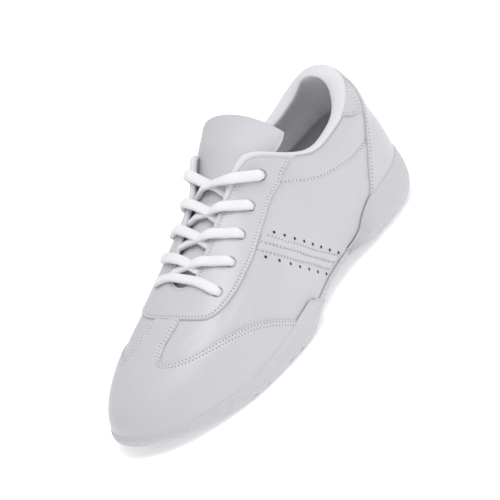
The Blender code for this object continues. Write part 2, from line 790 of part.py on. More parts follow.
def build_forefoot_outsole(collection, finish):
    first = FORE_SIDE[0].along * SOLE_LENGTH
    at = station_shares()
    along = -plan(at)[0][:, 1]
    start = int(np.argmax(along > first))
    end = STATIONS - int(np.argmax(along[::-1][: STATIONS // 2] > first)) - 1
    levels = pod_levels(at[start : end + 1], FORE_SIDE)
    flatten_end(levels, 0)
    flatten_end(levels, -1)
    bridge = crossing(levels, -1, 0, 1, FOREFOOT_END_BOW, bands=5 + (end - start) % 2)
    half = len(bridge[0]) // 2
    loops = []
    for level, back in zip(levels, bridge):
        loops.append(np.vstack([back[half:], level, back[:half]]))
    return stacked_solid("forefoot_outsole", loops, collection, finish)


def build_midsole(collection, finish):
    at = station_shares()
    point, outward = plan(at)
    along = -point[:, 1] / SOLE_LENGTH
    heel_end = HEEL_SIDE[-1].along
    fore_end = FORE_SIDE[0].along
    free = (along > heel_end + ARCH_MARGIN) & (along < fore_end - ARCH_MARGIN)
    stand_out = np.where(free, ARCH_STRIP_STAND_OUT, -PIECE_GAP)[:, None]
    bottom = midsole_bottom(point)
    top = point[:, 2] - PIECE_GAP
    loops = []
    section = (
        (bottom, -EDGE_BREAK),
        (bottom + EDGE_BREAK, 0.0),
        (top - EDGE_BREAK, 0.0),
        (top, -EDGE_BREAK / 2),
    )
    for height, shift in section:
        moved = point + outward * (stand_out + shift)
        moved[:, 2] = height
        loops.append(moved)
    return stacked_solid("midsole", loops, collection, finish)


def build_insole(collection, finish):
    at = station_shares()
    point, outward = plan(at)
    inset = UPPER_WALL + 2 * PIECE_GAP
    loops = []
    section = (
        (0.0, EDGE_BREAK),
        (EDGE_BREAK, 0.0),
        (INSOLE_THICKNESS - EDGE_BREAK, 0.0),
        (INSOLE_THICKNESS, EDGE_BREAK),
    )
    for height, shift in section:
        moved = point - outward * (inset + shift)
        moved[:, 2] += height
        loops.append(moved)
    return stacked_solid("insole", loops, collection, finish)


# Tongue, lining and laces
def build_tongue(collection, finish):
    t = np.linspace(0, 1, 16)
    knots = np.linspace(0, 1, len(TONGUE_ROWS))
    table = {}
    for name in TongueRow._fields:
        table[name] = smooth_steps(t, knots, [getattr(row, name) for row in TONGUE_ROWS])
    across = np.linspace(-1, 1, 10)
    rings = []
    for i in range(len(t)):
        x = (across * table["half"][i] + table["shift"][i]) * TONGUE_WIDTH
        y = np.full(len(x), -table["along"][i] * SOLE_LENGTH)
        crown = table["crown"][i] * UPPER_HEIGHT
        z = crown - table["drop"][i] * UPPER_HEIGHT * across**2 - table["tilt"][i] * x
        pad = table["pad"][i]
        thickness = TONGUE_MESH_THICKNESS + pad * (TONGUE_PAD_THICKNESS - TONGUE_MESH_THICKNESS)
        rounding = np.clip(1 - np.abs(across) ** 6, 0.15, 1)
        top = np.stack([x, y, z - thickness * (1 - rounding) / 2], 1)
        low = np.stack([x, y, z - thickness * (1 + rounding) / 2], 1)
        rings.append(np.vstack([top, low[::-1]]))
    return ringed_solid("tongue", rings, collection, finish)


def build_lining(collection, finish):
    """Padded lining inside the collar, with the roll that covers its edge."""
    rows = np.linspace(-LINING_END_ROW, LINING_END_ROW, 23)
    at = np.where(rows >= 0, share_at(np.abs(rows)), share_at(np.abs(rows), inner=True) - 1)
    behind = -(UPPER_WALL + LINING_GAP)
    edge = skin(at, 1.0)
    normal = bare_normal(at, 1.0)
    rise = edge - skin(at, RIM_UP)
    rise /= np.linalg.norm(rise, axis=1)[:, None]
    columns = [skin(at, up, behind) for up in LINING_OUTER_UPS]
    columns += [edge + rise * LINING_GAP + normal * out for out in (behind, 0.0)]
    columns += [edge + (rise * p.lift + normal * p.out) * COLLAR_ROLL for p in ROLL]
    columns += [skin(at, p.up, behind - p.depth * LINING_THICKNESS) for p in LINING_INNER]
    rings = np.stack(columns, 1)
    return ringed_solid("collar_lining", rings, collection, finish)


def eyelet_places(inner):
    rows = np.array([p.row for p in EYELETS])
    ups = np.array([p.up_inner if inner else p.up_outer for p in EYELETS])
    at = share_at(rows, inner)
    return skin(at, ups), bare_normal(at, ups), at


def build_eyelet_cutters(collection):
    cutters = []
    for side, inner in (("outer", False), ("inner", True)):
        places, normals, _ = eyelet_places(inner)
        for number, (place, normal) in enumerate(zip(places, normals), 1):
            bpy.ops.mesh.primitive_cylinder_add(
                vertices=EYELET_SIDES, radius=EYELET_DIAMETER / 2, depth=CUTTER_DEPTH
            )
            cutter = bpy.context.object
            cutter.location = place
            cutter.rotation_mode = "QUATERNION"
            cutter.rotation_quaternion = Vector(normal).to_track_quat("Z", "Y")
            set_aside(cutter, f"eyelet_cutter_{side}_{number}", collection)
            cutters.append(cutter)
    return cutters


def smooth_path(points, count):
    """Even points along a smooth curve through a few points."""
    points = np.asarray(points)
    gaps = np.linalg.norm(np.diff(points, axis=0), axis=1)
    length = np.concatenate([[0], np.cumsum(gaps)])
    slope = np.gradient(points, length, axis=0)
    t = np.linspace(0, length[-1], count)
    i = np.clip(np.searchsorted(length, t, side="right") - 1, 0, len(gaps) - 1)
    gap = gaps[i][:, None]
    s = ((t - length[i])[:, None]) / gap
    left = (1 + 2 * s) * (1 - s) ** 2 * points[i] + s * (1 - s) ** 2 * gap * slope[i]
    return left + s * s * (3 - 2 * s) * points[i + 1] - s * s * (1 - s) * gap * slope[i + 1]


def lace_rings(path, ups, sides=8):
    """Flat oval section carried along a path, with its thickness along ups."""
    along = np.gradient(path, axis=0)
    along /= np.linalg.norm(along, axis=1)[:, None]
    across = np.cross(along, ups)
    across /= np.linalg.norm(across, axis=1)[:, None]
    up = np.cross(across, along)
    turn = np.arange(sides) * 2 * pi / sides
    return (
        path[:, None]
        + across[:, None] * (np.cos(turn) * LACE_WIDTH / 2)[None, :, None]
        + up[:, None] * (np.sin(turn) * LACE_THICKNESS / 2)[None, :, None]
    )


def lace_over(place, normal):
    """Centre of a lace that lies on the eyestay."""
    return place + normal * (OVERLAY_GAP + OVERLAY_THICKNESS + LACE_GAP + LACE_THICKNESS / 2)


def skin_below(x, y, at, up=0.9):
    """Shares of the loop and the profile at a plan place, found from a near one."""
    step = 1e-5
    for _ in range(8):
        here = bare_skin(at, up)[:2]
        along = (bare_skin(at + step, up)[:2] - here) / step
        rise = (bare_skin(at, up + step)[:2] - here) / step
        move = np.linalg.solve(np.stack([along, rise], 1), np.array([x, y]) - here)
        at = at + np.clip(move[0], -0.02, 0.02)
        up = float(np.clip(up + move[1], 0.3, 1.0))
    return at, up


def between_eyelets(side, low, high, share):
    """Point and level of the throat's edge at a share of the way between two eyelets."""
    at = side[2][low] + share * (side[2][high] - side[2][low])
    return skin(at, 1.0), bare_normal(at, 1.0)


def strand_rings(sides, start_inner, low, high, lift):
    """A lace from under one edge, across the tongue and over the other edge to its eyelet."""
    upward = np.array([0.0, 0.0, 1.0])
    near_side, far_side = sides[start_inner], sides[not start_inner]
    under = between_eyelets(near_side, low, high, LACE_START_SHARE)[0]
    over, normal = between_eyelets(far_side, low, high, LACE_CROSS_SHARES[not start_inner])
    over_way = normal + upward
    crest = lace_over(over, over_way / np.linalg.norm(over_way))
    inward = (over - under) / np.linalg.norm(over - under)
    start = under + inward * (LACE_WIDTH * LACE_START_INSET + PIECE_GAP)
    start = start - upward * LACE_THICKNESS * LACE_START_DROP
    middle = (under + over) / 2 + upward * LACE_THICKNESS * lift
    end = lace_over(far_side[0][high], far_side[1][high])
    path = smooth_path([start, middle, crest, end], LACE_STEPS)
    share = np.linspace(0, 1, len(path))[:, None]
    return lace_rings(path, upward * (1 - share) + far_side[1][high] * share)


def bar_rings(sides):
    """The lowest lace, straight across the front of the throat between its eyelets."""
    last = EYELET_PAIRS - 1
    route = []
    for inner in (False, True):
        place, normal, at = (values[last] for values in sides[inner])
        points = [lace_over(place, normal)]
        x_mid = (sides[False][0][last][0] + sides[True][0][last][0]) / 2
        y_mid = (sides[False][0][last][1] + sides[True][0][last][1]) / 2
        for share in (0.3, 0.6):
            x = place[0] * (1 - share) + x_mid * share
            y = place[1] * (1 - share) + y_mid * share
            near_at, up = skin_below(x, y, at)
            points.append(lace_over(skin(near_at, up), bare_normal(near_at, up)))
        route.append(points)
    lift = np.array([0.0, 0.0, LACE_THICKNESS * BAR_CROWN_LIFT])
    crown = (route[0][-1] + route[1][-1]) / 2 + lift
    path = smooth_path([*route[0], crown, *route[1][::-1]], BAR_STEPS)
    return lace_rings(path, np.tile([0.0, 0.0, 1.0], (len(path), 1)))


def build_laces(collection, finish):
    sides = {inner: eyelet_places(inner) for inner in (False, True)}
    for number in range(EYELET_PAIRS - 1):
        low = EYELET_PAIRS - 1 - number
        high = low - 1
        lifts = (UPPER_LACE_LIFT, LOWER_LACE_LIFT)
        if high == 0:
            lifts = lifts[::-1]
        first = strand_rings(sides, False, low, high, lifts[0])
        second = strand_rings(sides, True, low, high, lifts[1])
        made = ringed_solid(f"lace_crossing_{number + 1}", first, collection, finish)
        other = ringed_solid(f"lace_crossing_{number + 1}_under", second, collection, finish)
        join = made.modifiers.new("join", "BOOLEAN")
        join.operation = "UNION"
        join.object = other
        other.hide_render = True
        other.display_type = "WIRE"
    ringed_solid("lace_bar", bar_rings(sides), collection, finish)


def set_aside(cutter, name, collection):
    """Names a cutter and keeps it out of the render."""
    cutter.name = name
    cutter.hide_render = True
    cutter.display_type = "WIRE"
    for owner in list(cutter.users_collection):
        owner.objects.unlink(cutter)
    collection.objects.link(cutter)


def groove_cutter(name, along, collection):
    """Box that cuts a flex groove across the underside."""
    bpy.ops.mesh.primitive_cube_add(size=1)
    cutter = bpy.context.object
    cutter.scale = (2 * BALL_WIDTH, GROOVE_WIDTH, 4 * GROOVE_DEPTH)
    cutter.location = (0, -along * SOLE_LENGTH, -GROOVE_DEPTH)
    set_aside(cutter, name, collection)
    return cutter


def stand_on_heel(objects, collection):
    """Hangs everything on an empty, so that the origin lies under the middle of the heel."""
    stand = bpy.data.objects.new("heel_rest_frame", None)
    stand.location = (0, HEEL_REST_SHARE * SOLE_LENGTH, 0)
    collection.objects.link(stand)
    for made in objects:
        made.parent = stand


def main():
    for old in list(bpy.data.objects):
        bpy.data.objects.remove(old)
    parts = bpy.data.collections.new("cheerleading_shoe")
    cutters = bpy.data.collections.new("cutters")
    bpy.context.scene.collection.children.link(parts)
    bpy.context.scene.collection.children.link(cutters)
    leather = material("white_leather", (0.86, 0.86, 0.87), 0.45)
    rubber = material("white_rubber", (0.82, 0.82, 0.83), 0.60)
    fabric = material("white_fabric", (0.84, 0.84, 0.85), 0.90)

    upper = build_upper(parts, leather)
    eyestay = build_eyestay(parts, leather)
    for cutter in build_eyelet_cutters(cutters):
        cut(upper, cutter)
        cut(eyestay, cutter)
    build_toe_overlay(parts, leather)
    build_counter(parts, leather)
    build_heel_tab(parts, leather)
    build_bands(parts, leather)
    heel = build_heel_outsole(parts, rubber)
    for number, along in enumerate(HEEL_GROOVES, 1):
        cut(heel, groove_cutter(f"heel_groove_{number}", along, cutters))
    forefoot = build_forefoot_outsole(parts, rubber)
    for number, along in enumerate(FOREFOOT_GROOVES, 1):
        cut(forefoot, groove_cutter(f"forefoot_groove_{number}", along, cutters))
    build_midsole(parts, rubber)
    build_insole(parts, fabric)
    build_tongue(parts, leather)
    build_lining(parts, fabric)
    build_laces(parts, fabric)
    stand_on_heel([*parts.objects, *cutters.objects], parts)


main()
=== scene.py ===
# %% [markdown]
# # A cheerleading shoe in white leather, left foot
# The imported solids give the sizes. Every visible piece is worked out again here on the same
# last, finer and with its seams, stitches, padding and rubber texture. Metres throughout: the
# toe points to -Y, the outer side is +X, and the origin lies under the middle of the heel.

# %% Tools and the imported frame
from collections import namedtuple
from math import cos, pi, radians, sin

import bpy
import numpy as np
from mathutils import Matrix


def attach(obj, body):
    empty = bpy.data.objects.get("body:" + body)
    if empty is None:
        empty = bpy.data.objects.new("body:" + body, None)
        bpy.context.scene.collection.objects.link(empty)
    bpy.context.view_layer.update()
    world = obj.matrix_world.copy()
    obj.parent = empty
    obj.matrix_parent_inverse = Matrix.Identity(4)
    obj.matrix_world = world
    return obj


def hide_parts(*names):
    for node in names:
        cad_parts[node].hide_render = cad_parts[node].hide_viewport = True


UPWARD = np.array([0.0, 0.0, 1.0])

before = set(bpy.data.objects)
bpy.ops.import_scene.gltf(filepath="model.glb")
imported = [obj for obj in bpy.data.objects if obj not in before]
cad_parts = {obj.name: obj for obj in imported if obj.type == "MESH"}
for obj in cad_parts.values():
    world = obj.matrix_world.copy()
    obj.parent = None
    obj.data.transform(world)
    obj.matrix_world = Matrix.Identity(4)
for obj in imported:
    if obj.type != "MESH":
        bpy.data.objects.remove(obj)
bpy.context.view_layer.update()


def unit(vectors):
    return vectors / np.linalg.norm(vectors, axis=-1, keepdims=True)


# %% [markdown]
# ## Camera and light
# The photograph was taken with a long lens from ahead and above, and the shoe was tipped toe
# down. Here the shoe stands on its sole, so the camera is rolled instead. A camera ten metres
# away with a very long lens gives the nearly parallel view. The light is a pale studio: a
# white surround, one large soft lamp up on the left and a weaker one on the right.

# %% Camera
AZIMUTH, ELEVATION, ROLL = radians(49.78), radians(24.64), radians(-29.57)
VIEW_WIDTH = 0.2747
CAMERA_DISTANCE, LAMP_DISTANCE = 10.0, 1.6
AIM = np.array([0.0, -0.0951, 0.040])
AIM_SHIFT = (0.0053, 0.0072)

back = np.array([sin(AZIMUTH) * cos(ELEVATION), -cos(AZIMUTH) * cos(ELEVATION), sin(ELEVATION)])
level = np.array([cos(AZIMUTH), sin(AZIMUTH), 0.0])
rise = np.cross(back, level)
right = cos(ROLL) * level + sin(ROLL) * rise
up_screen = -sin(ROLL) * level + cos(ROLL) * rise


def link(name, data, place=(0, 0, 0), axes=np.eye(3)):
    """New object of the scene at a place, turned to three axes."""
    made = bpy.data.objects.new(name, data)
    bpy.context.scene.collection.objects.link(made)
    turn = Matrix([[*row, 0.0] for row in np.stack(axes, 1)] + [[0, 0, 0, 1]])
    made.matrix_world = Matrix.Translation(list(place)) @ turn
    return made


place = AIM + right * AIM_SHIFT[0] + up_screen * AIM_SHIFT[1] + back * CAMERA_DISTANCE
camera = link("camera", bpy.data.cameras.new("camera"), place, (right, up_screen, back))
camera.data.lens = camera.data.sensor_width * CAMERA_DISTANCE / VIEW_WIDTH
camera.data.clip_end = 100
bpy.context.scene.camera = camera
bpy.context.scene.view_settings.view_transform = "Standard"


# %% Floor, surround and lamps
def lamp(name, direction, size, power):
    """Square lamp that shines on the shoe from a direction in the camera's own axes."""
    data = bpy.data.lights.new(name, "AREA")
    data.size = size
    data.energy = power
    way = unit(direction[0] * right + direction[1] * up_screen + direction[2] * back)
    side = unit(np.cross(UPWARD, way))
    link(name, data, AIM + way * LAMP_DISTANCE, (side, np.cross(way, side), way))


lamp("key_lamp", (-0.25, 0.80, 0.55), 1.3, 17.5)
lamp("side_lamp", (1.0, -0.35, 0.25), 1.0, 6.0)
world = bpy.data.worlds.new("studio")
world.use_nodes = True
surround = world.node_tree.nodes["Background"].inputs
surround["Color"].default_value = (1.0, 1.0, 1.0, 1.0)
surround["Strength"].default_value = 0.60
bpy.context.scene.world = world

floor_mesh = bpy.data.meshes.new("floor")
floor_mesh.from_pydata([(-3, -3, 0), (3, -3, 0), (3, 3, 0), (-3, 3, 0)], [], [(0, 1, 2, 3)])
link("floor", floor_mesh)

# %% [markdown]
# ## The last
# A shoe is built round a last. Two closed lines describe it: the feather line, where the upper
# meets the sole, and the edge of the collar and the throat. A cubic spline runs through the
# rows of each table, and a curved profile with two handles joins the lines. `at` is a share of
# the way round, `up` a share of the way from the sole to the edge.

# %% Sizes of the last
SOLE_LENGTH, BALL_WIDTH, HEEL_WIDTH = 0.256, 0.092, 0.060
COLLAR_WIDTH, THROAT_WIDTH = 0.060, 0.027
UPPER_HEIGHT, FOOTBED_RISE = 0.094, 0.017
UPPER_WALL, PIECE_GAP, COLLAR_PADDING = 0.0018, 0.0003, 0.0022
HEEL_REST = 0.1325 * SOLE_LENGTH

# Feather line: share along the outer side and of the width there, the same for the inner side,
# and the height as a share of the footbed's rise. The edges: shares along, of the half width
# and of the height. Profiles: the two handles' reach and height, each as low, then high.
HEEL_FEATHER = (
    (0.012, 0.000, 0.012, 0.000, 1.00),
    (0.031, 0.267, 0.031, 0.267, 1.00),
    (0.086, 0.440, 0.086, 0.437, 0.97),
    (0.188, 0.495, 0.188, 0.483, 0.90),
)
FORE_FEATHER = (
    (0.297, 0.318, 0.297, 0.288, 0.72),
    (0.398, 0.338, 0.406, 0.266, 0.63),
    (0.492, 0.410, 0.516, 0.304, 0.55),
    (0.594, 0.478, 0.625, 0.408, 0.49),
    (0.695, 0.474, 0.727, 0.462, 0.46),
    (0.789, 0.428, 0.816, 0.457, 0.43),
    (0.873, 0.325, 0.895, 0.415, 0.47),
    (0.942, 0.165, 0.950, 0.298, 0.55),
    (0.976, -0.087, 0.976, 0.087, 0.61),
)
COLLAR_EDGE = (
    (0.036, 0.000, 0.893),
    (0.052, 0.265, 0.850),
    (0.108, 0.415, 0.768),
    (0.195, 0.475, 0.727),
    (0.281, 0.500, 0.755),
    (0.359, 0.445, 0.905),
)
THROAT_EDGE = (
    (0.414, 0.741, 0.995),
    (0.477, 0.537, 0.900),
    (0.555, 0.463, 0.793),
    (0.625, 0.407, 0.697),
    (0.668, 0.333, 0.640),
    (0.682, 0.185, 0.620),
    (0.686, 0.000, 0.614),
)
PROFILES = (
    (0.045, 0.28, 0.022, 0.26),
    (0.045, 0.28, 0.030, 0.26),
    (0.045, 0.26, 0.035, 0.23),
    (0.035, 0.22, 0.050, 0.19),
    (0.015, 0.22, 0.060, 0.21),
    (0.005, 0.26, 0.070, 0.27),
    (0.010, 0.27, 0.090, 0.25),
    (0.030, 0.26, 0.150, 0.17),
    (0.035, 0.23, 0.210, 0.13),
    (0.035, 0.21, 0.280, 0.13),
    (0.035, 0.21, 0.340, 0.14),
    (0.035, 0.21, 0.385, 0.15),
    (0.035, 0.21, 0.405, 0.16),
)
LAST_ROW = len(PROFILES) - 1


# %% Splines and the skin of the last
def mirrored_loop(outer, inner):
    """Rows from heel to toe on the outer side, then back to the heel on the inner side."""
    return np.vstack([np.array(outer, float), np.array(inner, float)[-2:0:-1]])


def feather_rows():
    """Points of the feather line, its two sides from their own columns."""
    outer, inner = [], []
    for rows, width in ((HEEL_FEATHER, HEEL_WIDTH), (FORE_FEATHER, BALL_WIDTH)):
        for along_out, out, along_in, inward, high in rows:
            z = high * FOOTBED_RISE
            outer.append((out * width, HEEL_REST - along_out * SOLE_LENGTH, z))
            inner.append((-inward * width, HEEL_REST - along_in * SOLE_LENGTH, z))
    return mirrored_loop(outer, inner)


def opening_rows():
    """Points of the collar's and the throat's edge, alike on both sides."""
    outer = [
        (half * width, HEEL_REST - along * SOLE_LENGTH, high * UPPER_HEIGHT)
        for rows, width in ((COLLAR_EDGE, COLLAR_WIDTH), (THROAT_EDGE, THROAT_WIDTH))
        for along, half, high in rows
    ]
    return mirrored_loop(outer, [(-x, y, z) for x, y, z in outer])


FEATHER, OPENING = feather_rows(), opening_rows()
HANDLES = mirrored_loop(PROFILES, PROFILES) * UPPER_HEIGHT
STEPS = np.linalg.norm(np.diff(np.vstack([FEATHER, FEATHER[:1]])[:, :2], axis=0), axis=1)
KNOTS = np.concatenate([[0.0], np.cumsum(STEPS)]) / STEPS.sum()


def bends(rows):
    """Second slopes of the closed cubic spline: each knot's row of a cyclic linear system."""
    count = len(rows)
    gaps = np.diff(KNOTS)
    system = np.zeros((count, count))
    index = np.arange(count)
    np.add.at(system, (index, index), 2 * (np.roll(gaps, 1) + gaps))
    np.add.at(system, (index, index - 1), np.roll(gaps, 1))
    np.add.at(system, (index, (index + 1) % count), gaps)
    slope = (np.roll(rows, -1, axis=0) - rows) / gaps[:, None]
    return np.linalg.solve(system, 6 * (slope - np.roll(slope, 1, axis=0)))


CURVES = {name: (rows, bends(rows)) for name, rows in
          (("feather", FEATHER), ("opening", OPENING), ("handles", HANDLES))}


def spline(name, at):
    """Value and slope of a closed curve: the cubic between the two knots round each share."""
    rows, bend = CURVES[name]
    at = np.mod(at, 1.0)
    i = np.clip(np.searchsorted(KNOTS, at, side="right") - 1, 0, len(rows) - 1)
    after = (i + 1) % len(rows)
    gap = np.diff(KNOTS)[i][:, None]
    t = (at - KNOTS[i])[:, None]
    cubic = (bend[after] - bend[i]) / (6 * gap)
    slope = (rows[after] - rows[i]) / gap - gap * (2 * bend[i] + bend[after]) / 6
    value = rows[i] + t * (slope + t * (bend[i] / 2 + t * cubic))
    return value, slope + t * (bend[i] + 3 * cubic * t)


def hermite(x, table_x, values, slope):
    """Cubic between each two points of a table, from their values and their slopes."""
    i = np.clip(np.searchsorted(table_x, x, side="right") - 1, 0, len(table_x) - 2)
    width = table_x[i + 1] - table_x[i]
    t = (x - table_x[i]) / width
    if values.ndim > 1:
        t, width = t[:, None], width[:, None]
    left = (1 + 2 * t) * (1 - t) ** 2 * values[i] + t * (1 - t) ** 2 * width * slope[i]
    return left + t * t * (3 - 2 * t) * values[i + 1] - t * t * (1 - t) * width * slope[i + 1]


def smooth_steps(x, table_x, table_y):
    """Monotone cubic through a short table: each slope is the harmonic mean of its neighbours."""
    table_x, table_y = np.asarray(table_x, float), np.asarray(table_y, float)
    climb = np.diff(table_y) / np.diff(table_x)
    slope = np.zeros(len(table_x))
    same = climb[1:] * climb[:-1] > 0
    pair = np.where(same, climb[1:] + climb[:-1], 1.0)
    slope[1:-1] = np.where(same, 2 * climb[1:] * climb[:-1] / pair, 0.0)
    return hermite(np.clip(x, table_x[0], table_x[-1]), table_x, table_y, slope)


def flow(x, table_x, table_y):
    """Cubic through a short table, each slope taken from the points on both sides."""
    table_x, table_y = np.asarray(table_x, float), np.asarray(table_y, float)
    return hermite(x, table_x, table_y, np.gradient(table_y, table_x))


def ease(t):
    """Smooth step from 0 to 1."""
    t = np.clip(t, 0, 1)
    return t * t * (3 - 2 * t)


def plan(at):
    """Feather points and the level outward directions there."""
    point, way = spline("feather", at)
    way = way[:, :2] / np.linalg.norm(way[:, :2], axis=1)[:, None]
    return point, np.stack([-way[:, 1], way[:, 0], 0 * way[:, 0]], 1)


def bare_skin(at, up):
    """Cubic profile from the feather line to the edge, bent by its two handles."""
    at, up = np.broadcast_arrays(np.asarray(at, float), np.asarray(up, float))
    shape = at.shape
    at, t = at.ravel(), up.ravel()[:, None]
    low, outward = plan(at)
    high, handle = spline("opening", at)[0], spline("handles", at)[0]
    low_handle = low + outward * handle[:, :1] + UPWARD * handle[:, 1:2]
    high_handle = high + outward * handle[:, 2:3] - UPWARD * handle[:, 3:4]
    q = 1 - t
    point = q**3 * low + 3 * q * q * t * low_handle + 3 * q * t * t * high_handle + t**3 * high
    return point.reshape(*shape, 3)


def slopes(at, up):
    """Change of the bare skin per share round and per share up."""
    step = 1e-4
    above, below = np.clip(up + step, step, 1), np.clip(up - step, 0, 1 - step)
    around = (bare_skin(at + step, up) - bare_skin(at - step, up)) / (2 * step)
    return around, (bare_skin(at, above) - bare_skin(at, below)) / (above - below)[..., None]


def bare_normal(at, up):
    """Outward normal, across both slopes."""
    at, up = np.broadcast_arrays(np.asarray(at, float), np.asarray(up, float))
    around, upward = slopes(at, up)
    return unit(np.cross(upward, around))


def padding(at, up):
    """Swelling of the padded collar: a hump below the edge that fades out before the throat."""
    folded = np.abs(np.mod(at + 0.5, 1.0) - 0.5)
    both = np.minimum(np.clip((up - 0.60) / 0.24, 0, 1), np.clip((1.08 - up) / 0.24, 0, 1))
    return COLLAR_PADDING * (1 - ease((folded - 0.10) / 0.05)) * ease(both)


def skin(at, up, out=0.0):
    """Point of the upper's outer face, moved out along its normal."""
    move = padding(at, up) + out
    return bare_skin(at, up) + bare_normal(at, up) * np.asarray(move)[..., None]


def share_up(at, height):
    """Share of the profile at which the skin reaches a height near the sole."""
    rows = np.linspace(0, 0.6, 61)
    heights = skin(np.asarray(at)[:, None], rows[None, :])[..., 2]
    return np.array([np.interp(z, line, rows) for z, line in zip(height, heights)])


def share_at(row, inner=False):
    """Share of the loop at a row number of the tables, which may be a fraction."""
    knots = KNOTS[::-1] if inner else KNOTS
    return np.interp(row, np.arange(len(PROFILES)), knots[: len(PROFILES)])


def both_sides(rows, *values):
    """Shares along the outer side and back on the inner side, with their values."""
    at = np.concatenate([share_at(rows), share_at(rows[:-1][::-1], inner=True)])
    return at, *[np.concatenate([value, value[:-1][::-1]]) for value in values]


def round_heel(rows):
    """Shares of row numbers that run past the heel, negative on the inner side."""
    return np.where(rows >= 0, share_at(np.abs(rows)), share_at(np.abs(rows), inner=True) - 1)


def distances(points):
    """Distance from the first point to each, along the line."""
    return np.concatenate([[0], np.cumsum(np.linalg.norm(np.diff(points, axis=0), axis=1))])


def even_line(at, up, count):
    """The same line with its points evenly spaced in space."""
    length = distances(skin(at, up))
    t = np.linspace(0, length[-1], count)
    return np.interp(t, length, at), np.interp(t, length, up)


def shifted(at, up, distance):
    """The line moved sideways over the skin, towards the sole when distance is positive.

    The move lies across the line in the tangent plane and is solved back into both shares.
    """
    around, upward = slopes(at, up)
    along = unit(np.gradient(bare_skin(at, up), axis=0))
    side = np.cross(bare_normal(at, up), along) * distance
    a, b, c = (around**2).sum(-1), (around * upward).sum(-1), (upward**2).sum(-1)
    p, q = (side * around).sum(-1), (side * upward).sum(-1)
    det = a * c - b * b
    return at + (c * p - b * q) / det, up + (a * q - b * p) / det


print("feather line", round(STEPS.sum(), 4), "m round")

# %% [markdown]
# ## From grids of points to meshes
# Every piece is a grid of points, computed as a whole array. A ring closes its columns and a
# loop closes its rows. A shell is an outer and an inner grid joined at their rims, so that a
# panel of leather is closed. Its own UV map runs in metres along the rows and the columns.


# %% Mesh helpers
def grid_faces(rows, columns, loop=False, ring=False):
    """Quads of a grid, as vertex numbers and as numbers on a grid one larger where it closes."""
    i, j = np.meshgrid(np.arange(rows - (not loop)), np.arange(columns - (not ring)), indexing="ij")
    i, j = i.ravel(), j.ravel()

    def corner(di, dj):
        return (i + di) % rows * columns + (j + dj) % columns, (i + di) * (columns + ring) + j + dj

    pairs = [corner(0, 0), corner(0, 1), corner(1, 1), corner(1, 0)]
    return np.stack([p[0] for p in pairs], 1), np.stack([p[1] for p in pairs], 1)


def metre_map(points, loop, ring):
    """UV of a grid: mean distance along its rows and its columns."""
    if loop:
        points = np.concatenate([points, points[:1]])
    if ring:
        points = np.concatenate([points, points[:, :1]], 1)
    u = np.linalg.norm(np.diff(points, axis=0), axis=2).mean(1)
    v = np.linalg.norm(np.diff(points, axis=1), axis=2).mean(0)
    u = np.concatenate([[0], np.cumsum(u)])
    v = np.concatenate([[0], np.cumsum(v)])
    return np.stack(np.meshgrid(u, v, indexing="ij"), -1).reshape(-1, 2)


def write_mesh(name, points, faces, uv, finish, dark=None):
    """Object from points, quads, and one UV per corner. Dark marks where painted shade lies."""
    mesh = bpy.data.meshes.new(name)
    mesh.vertices.add(len(points))
    mesh.vertices.foreach_set("co", np.asarray(points, np.float32).ravel())
    mesh.loops.add(faces.size)
    mesh.loops.foreach_set("vertex_index", faces.ravel().astype(np.int32))
    mesh.polygons.add(len(faces))
    mesh.polygons.foreach_set("loop_start", np.arange(0, faces.size, faces.shape[1], dtype=np.int32))
    mesh.polygons.foreach_set("use_smooth", np.ones(len(faces), bool))
    if uv is not None:
        mesh.uv_layers.new(name="UVMap").data.foreach_set("uv", uv.astype(np.float32).ravel())
    if dark is not None:
        layer = mesh.attributes.new("dark", "FLOAT", "POINT")
        layer.data.foreach_set("value", np.asarray(dark, np.float32).ravel())
    mesh.update(calc_edges=True)
    mesh.validate()
    mesh.materials.append(finish)
    return link(name, mesh)


def volume(points, faces):
    """Signed volume: positive when the faces look out."""
    a, b, c, d = (points[faces[:, k]] for k in range(4))
    return float((np.cross(a, b) * c).sum() + (np.cross(a, c) * d).sum())


def surface(name, points, finish, loop=False, ring=False, caps=False, dark=None, closed=False):
    """Mesh over a grid. Caps zip up the first and the last ring, pair by pair."""
    rows, columns = points.shape[:2]
    faces, corners = grid_faces(rows, columns, loop, ring)
    uv = metre_map(points, loop, ring)[corners.ravel()]
    flat = points.reshape(-1, 3)
    if caps:
        j = np.arange(columns // 2 - 1)
        cap = np.stack([j, columns - 1 - j, columns - 2 - j, j + 1], 1)
        other = (rows - 1) * columns + cap[:, ::-1]
        faces = np.vstack([faces, cap, other])
        uv = np.vstack([uv, np.zeros((2 * cap.size, 2))])
    if (caps or closed) and volume(flat, faces) < 0:
        faces = faces[:, ::-1]
        uv = uv.reshape(-1, 4, 2)[:, ::-1].reshape(-1, 2)
    return write_mesh(name, flat, faces, uv, finish, dark)


def shell(name, outer, inner, finish, loop=False, dark=None):
    """Closed leather piece from its outer and its inner grid."""
    section = np.concatenate([outer, inner[:, ::-1]], 1)
    if dark is not None:
        dark = np.concatenate([dark, 0 * dark[:, ::-1]], 1)
    return surface(name, section, finish, loop, ring=True, caps=not loop, dark=dark, closed=True)


def nearest(points, path):
    """Distance from every point to the nearest point of a path, a few thousand at a time."""
    flat = points.reshape(-1, 3)
    found = [np.sqrt(((part[:, None] - path[None]) ** 2).sum(-1).min(1))
             for part in np.array_split(flat, max(1, len(flat) * len(path) // 4_000_000))]
    return np.concatenate(found).reshape(points.shape[:-1])


def settle(made, slot, *nodes):
    """Hangs a piece on the shoe and hides the solids that it stands for; the slot, its finish's name, is
    not used.
    """
    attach(made, "root")
    if nodes:
        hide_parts(*nodes)
    print(made.name, len(made.data.polygons), "faces")
    return made


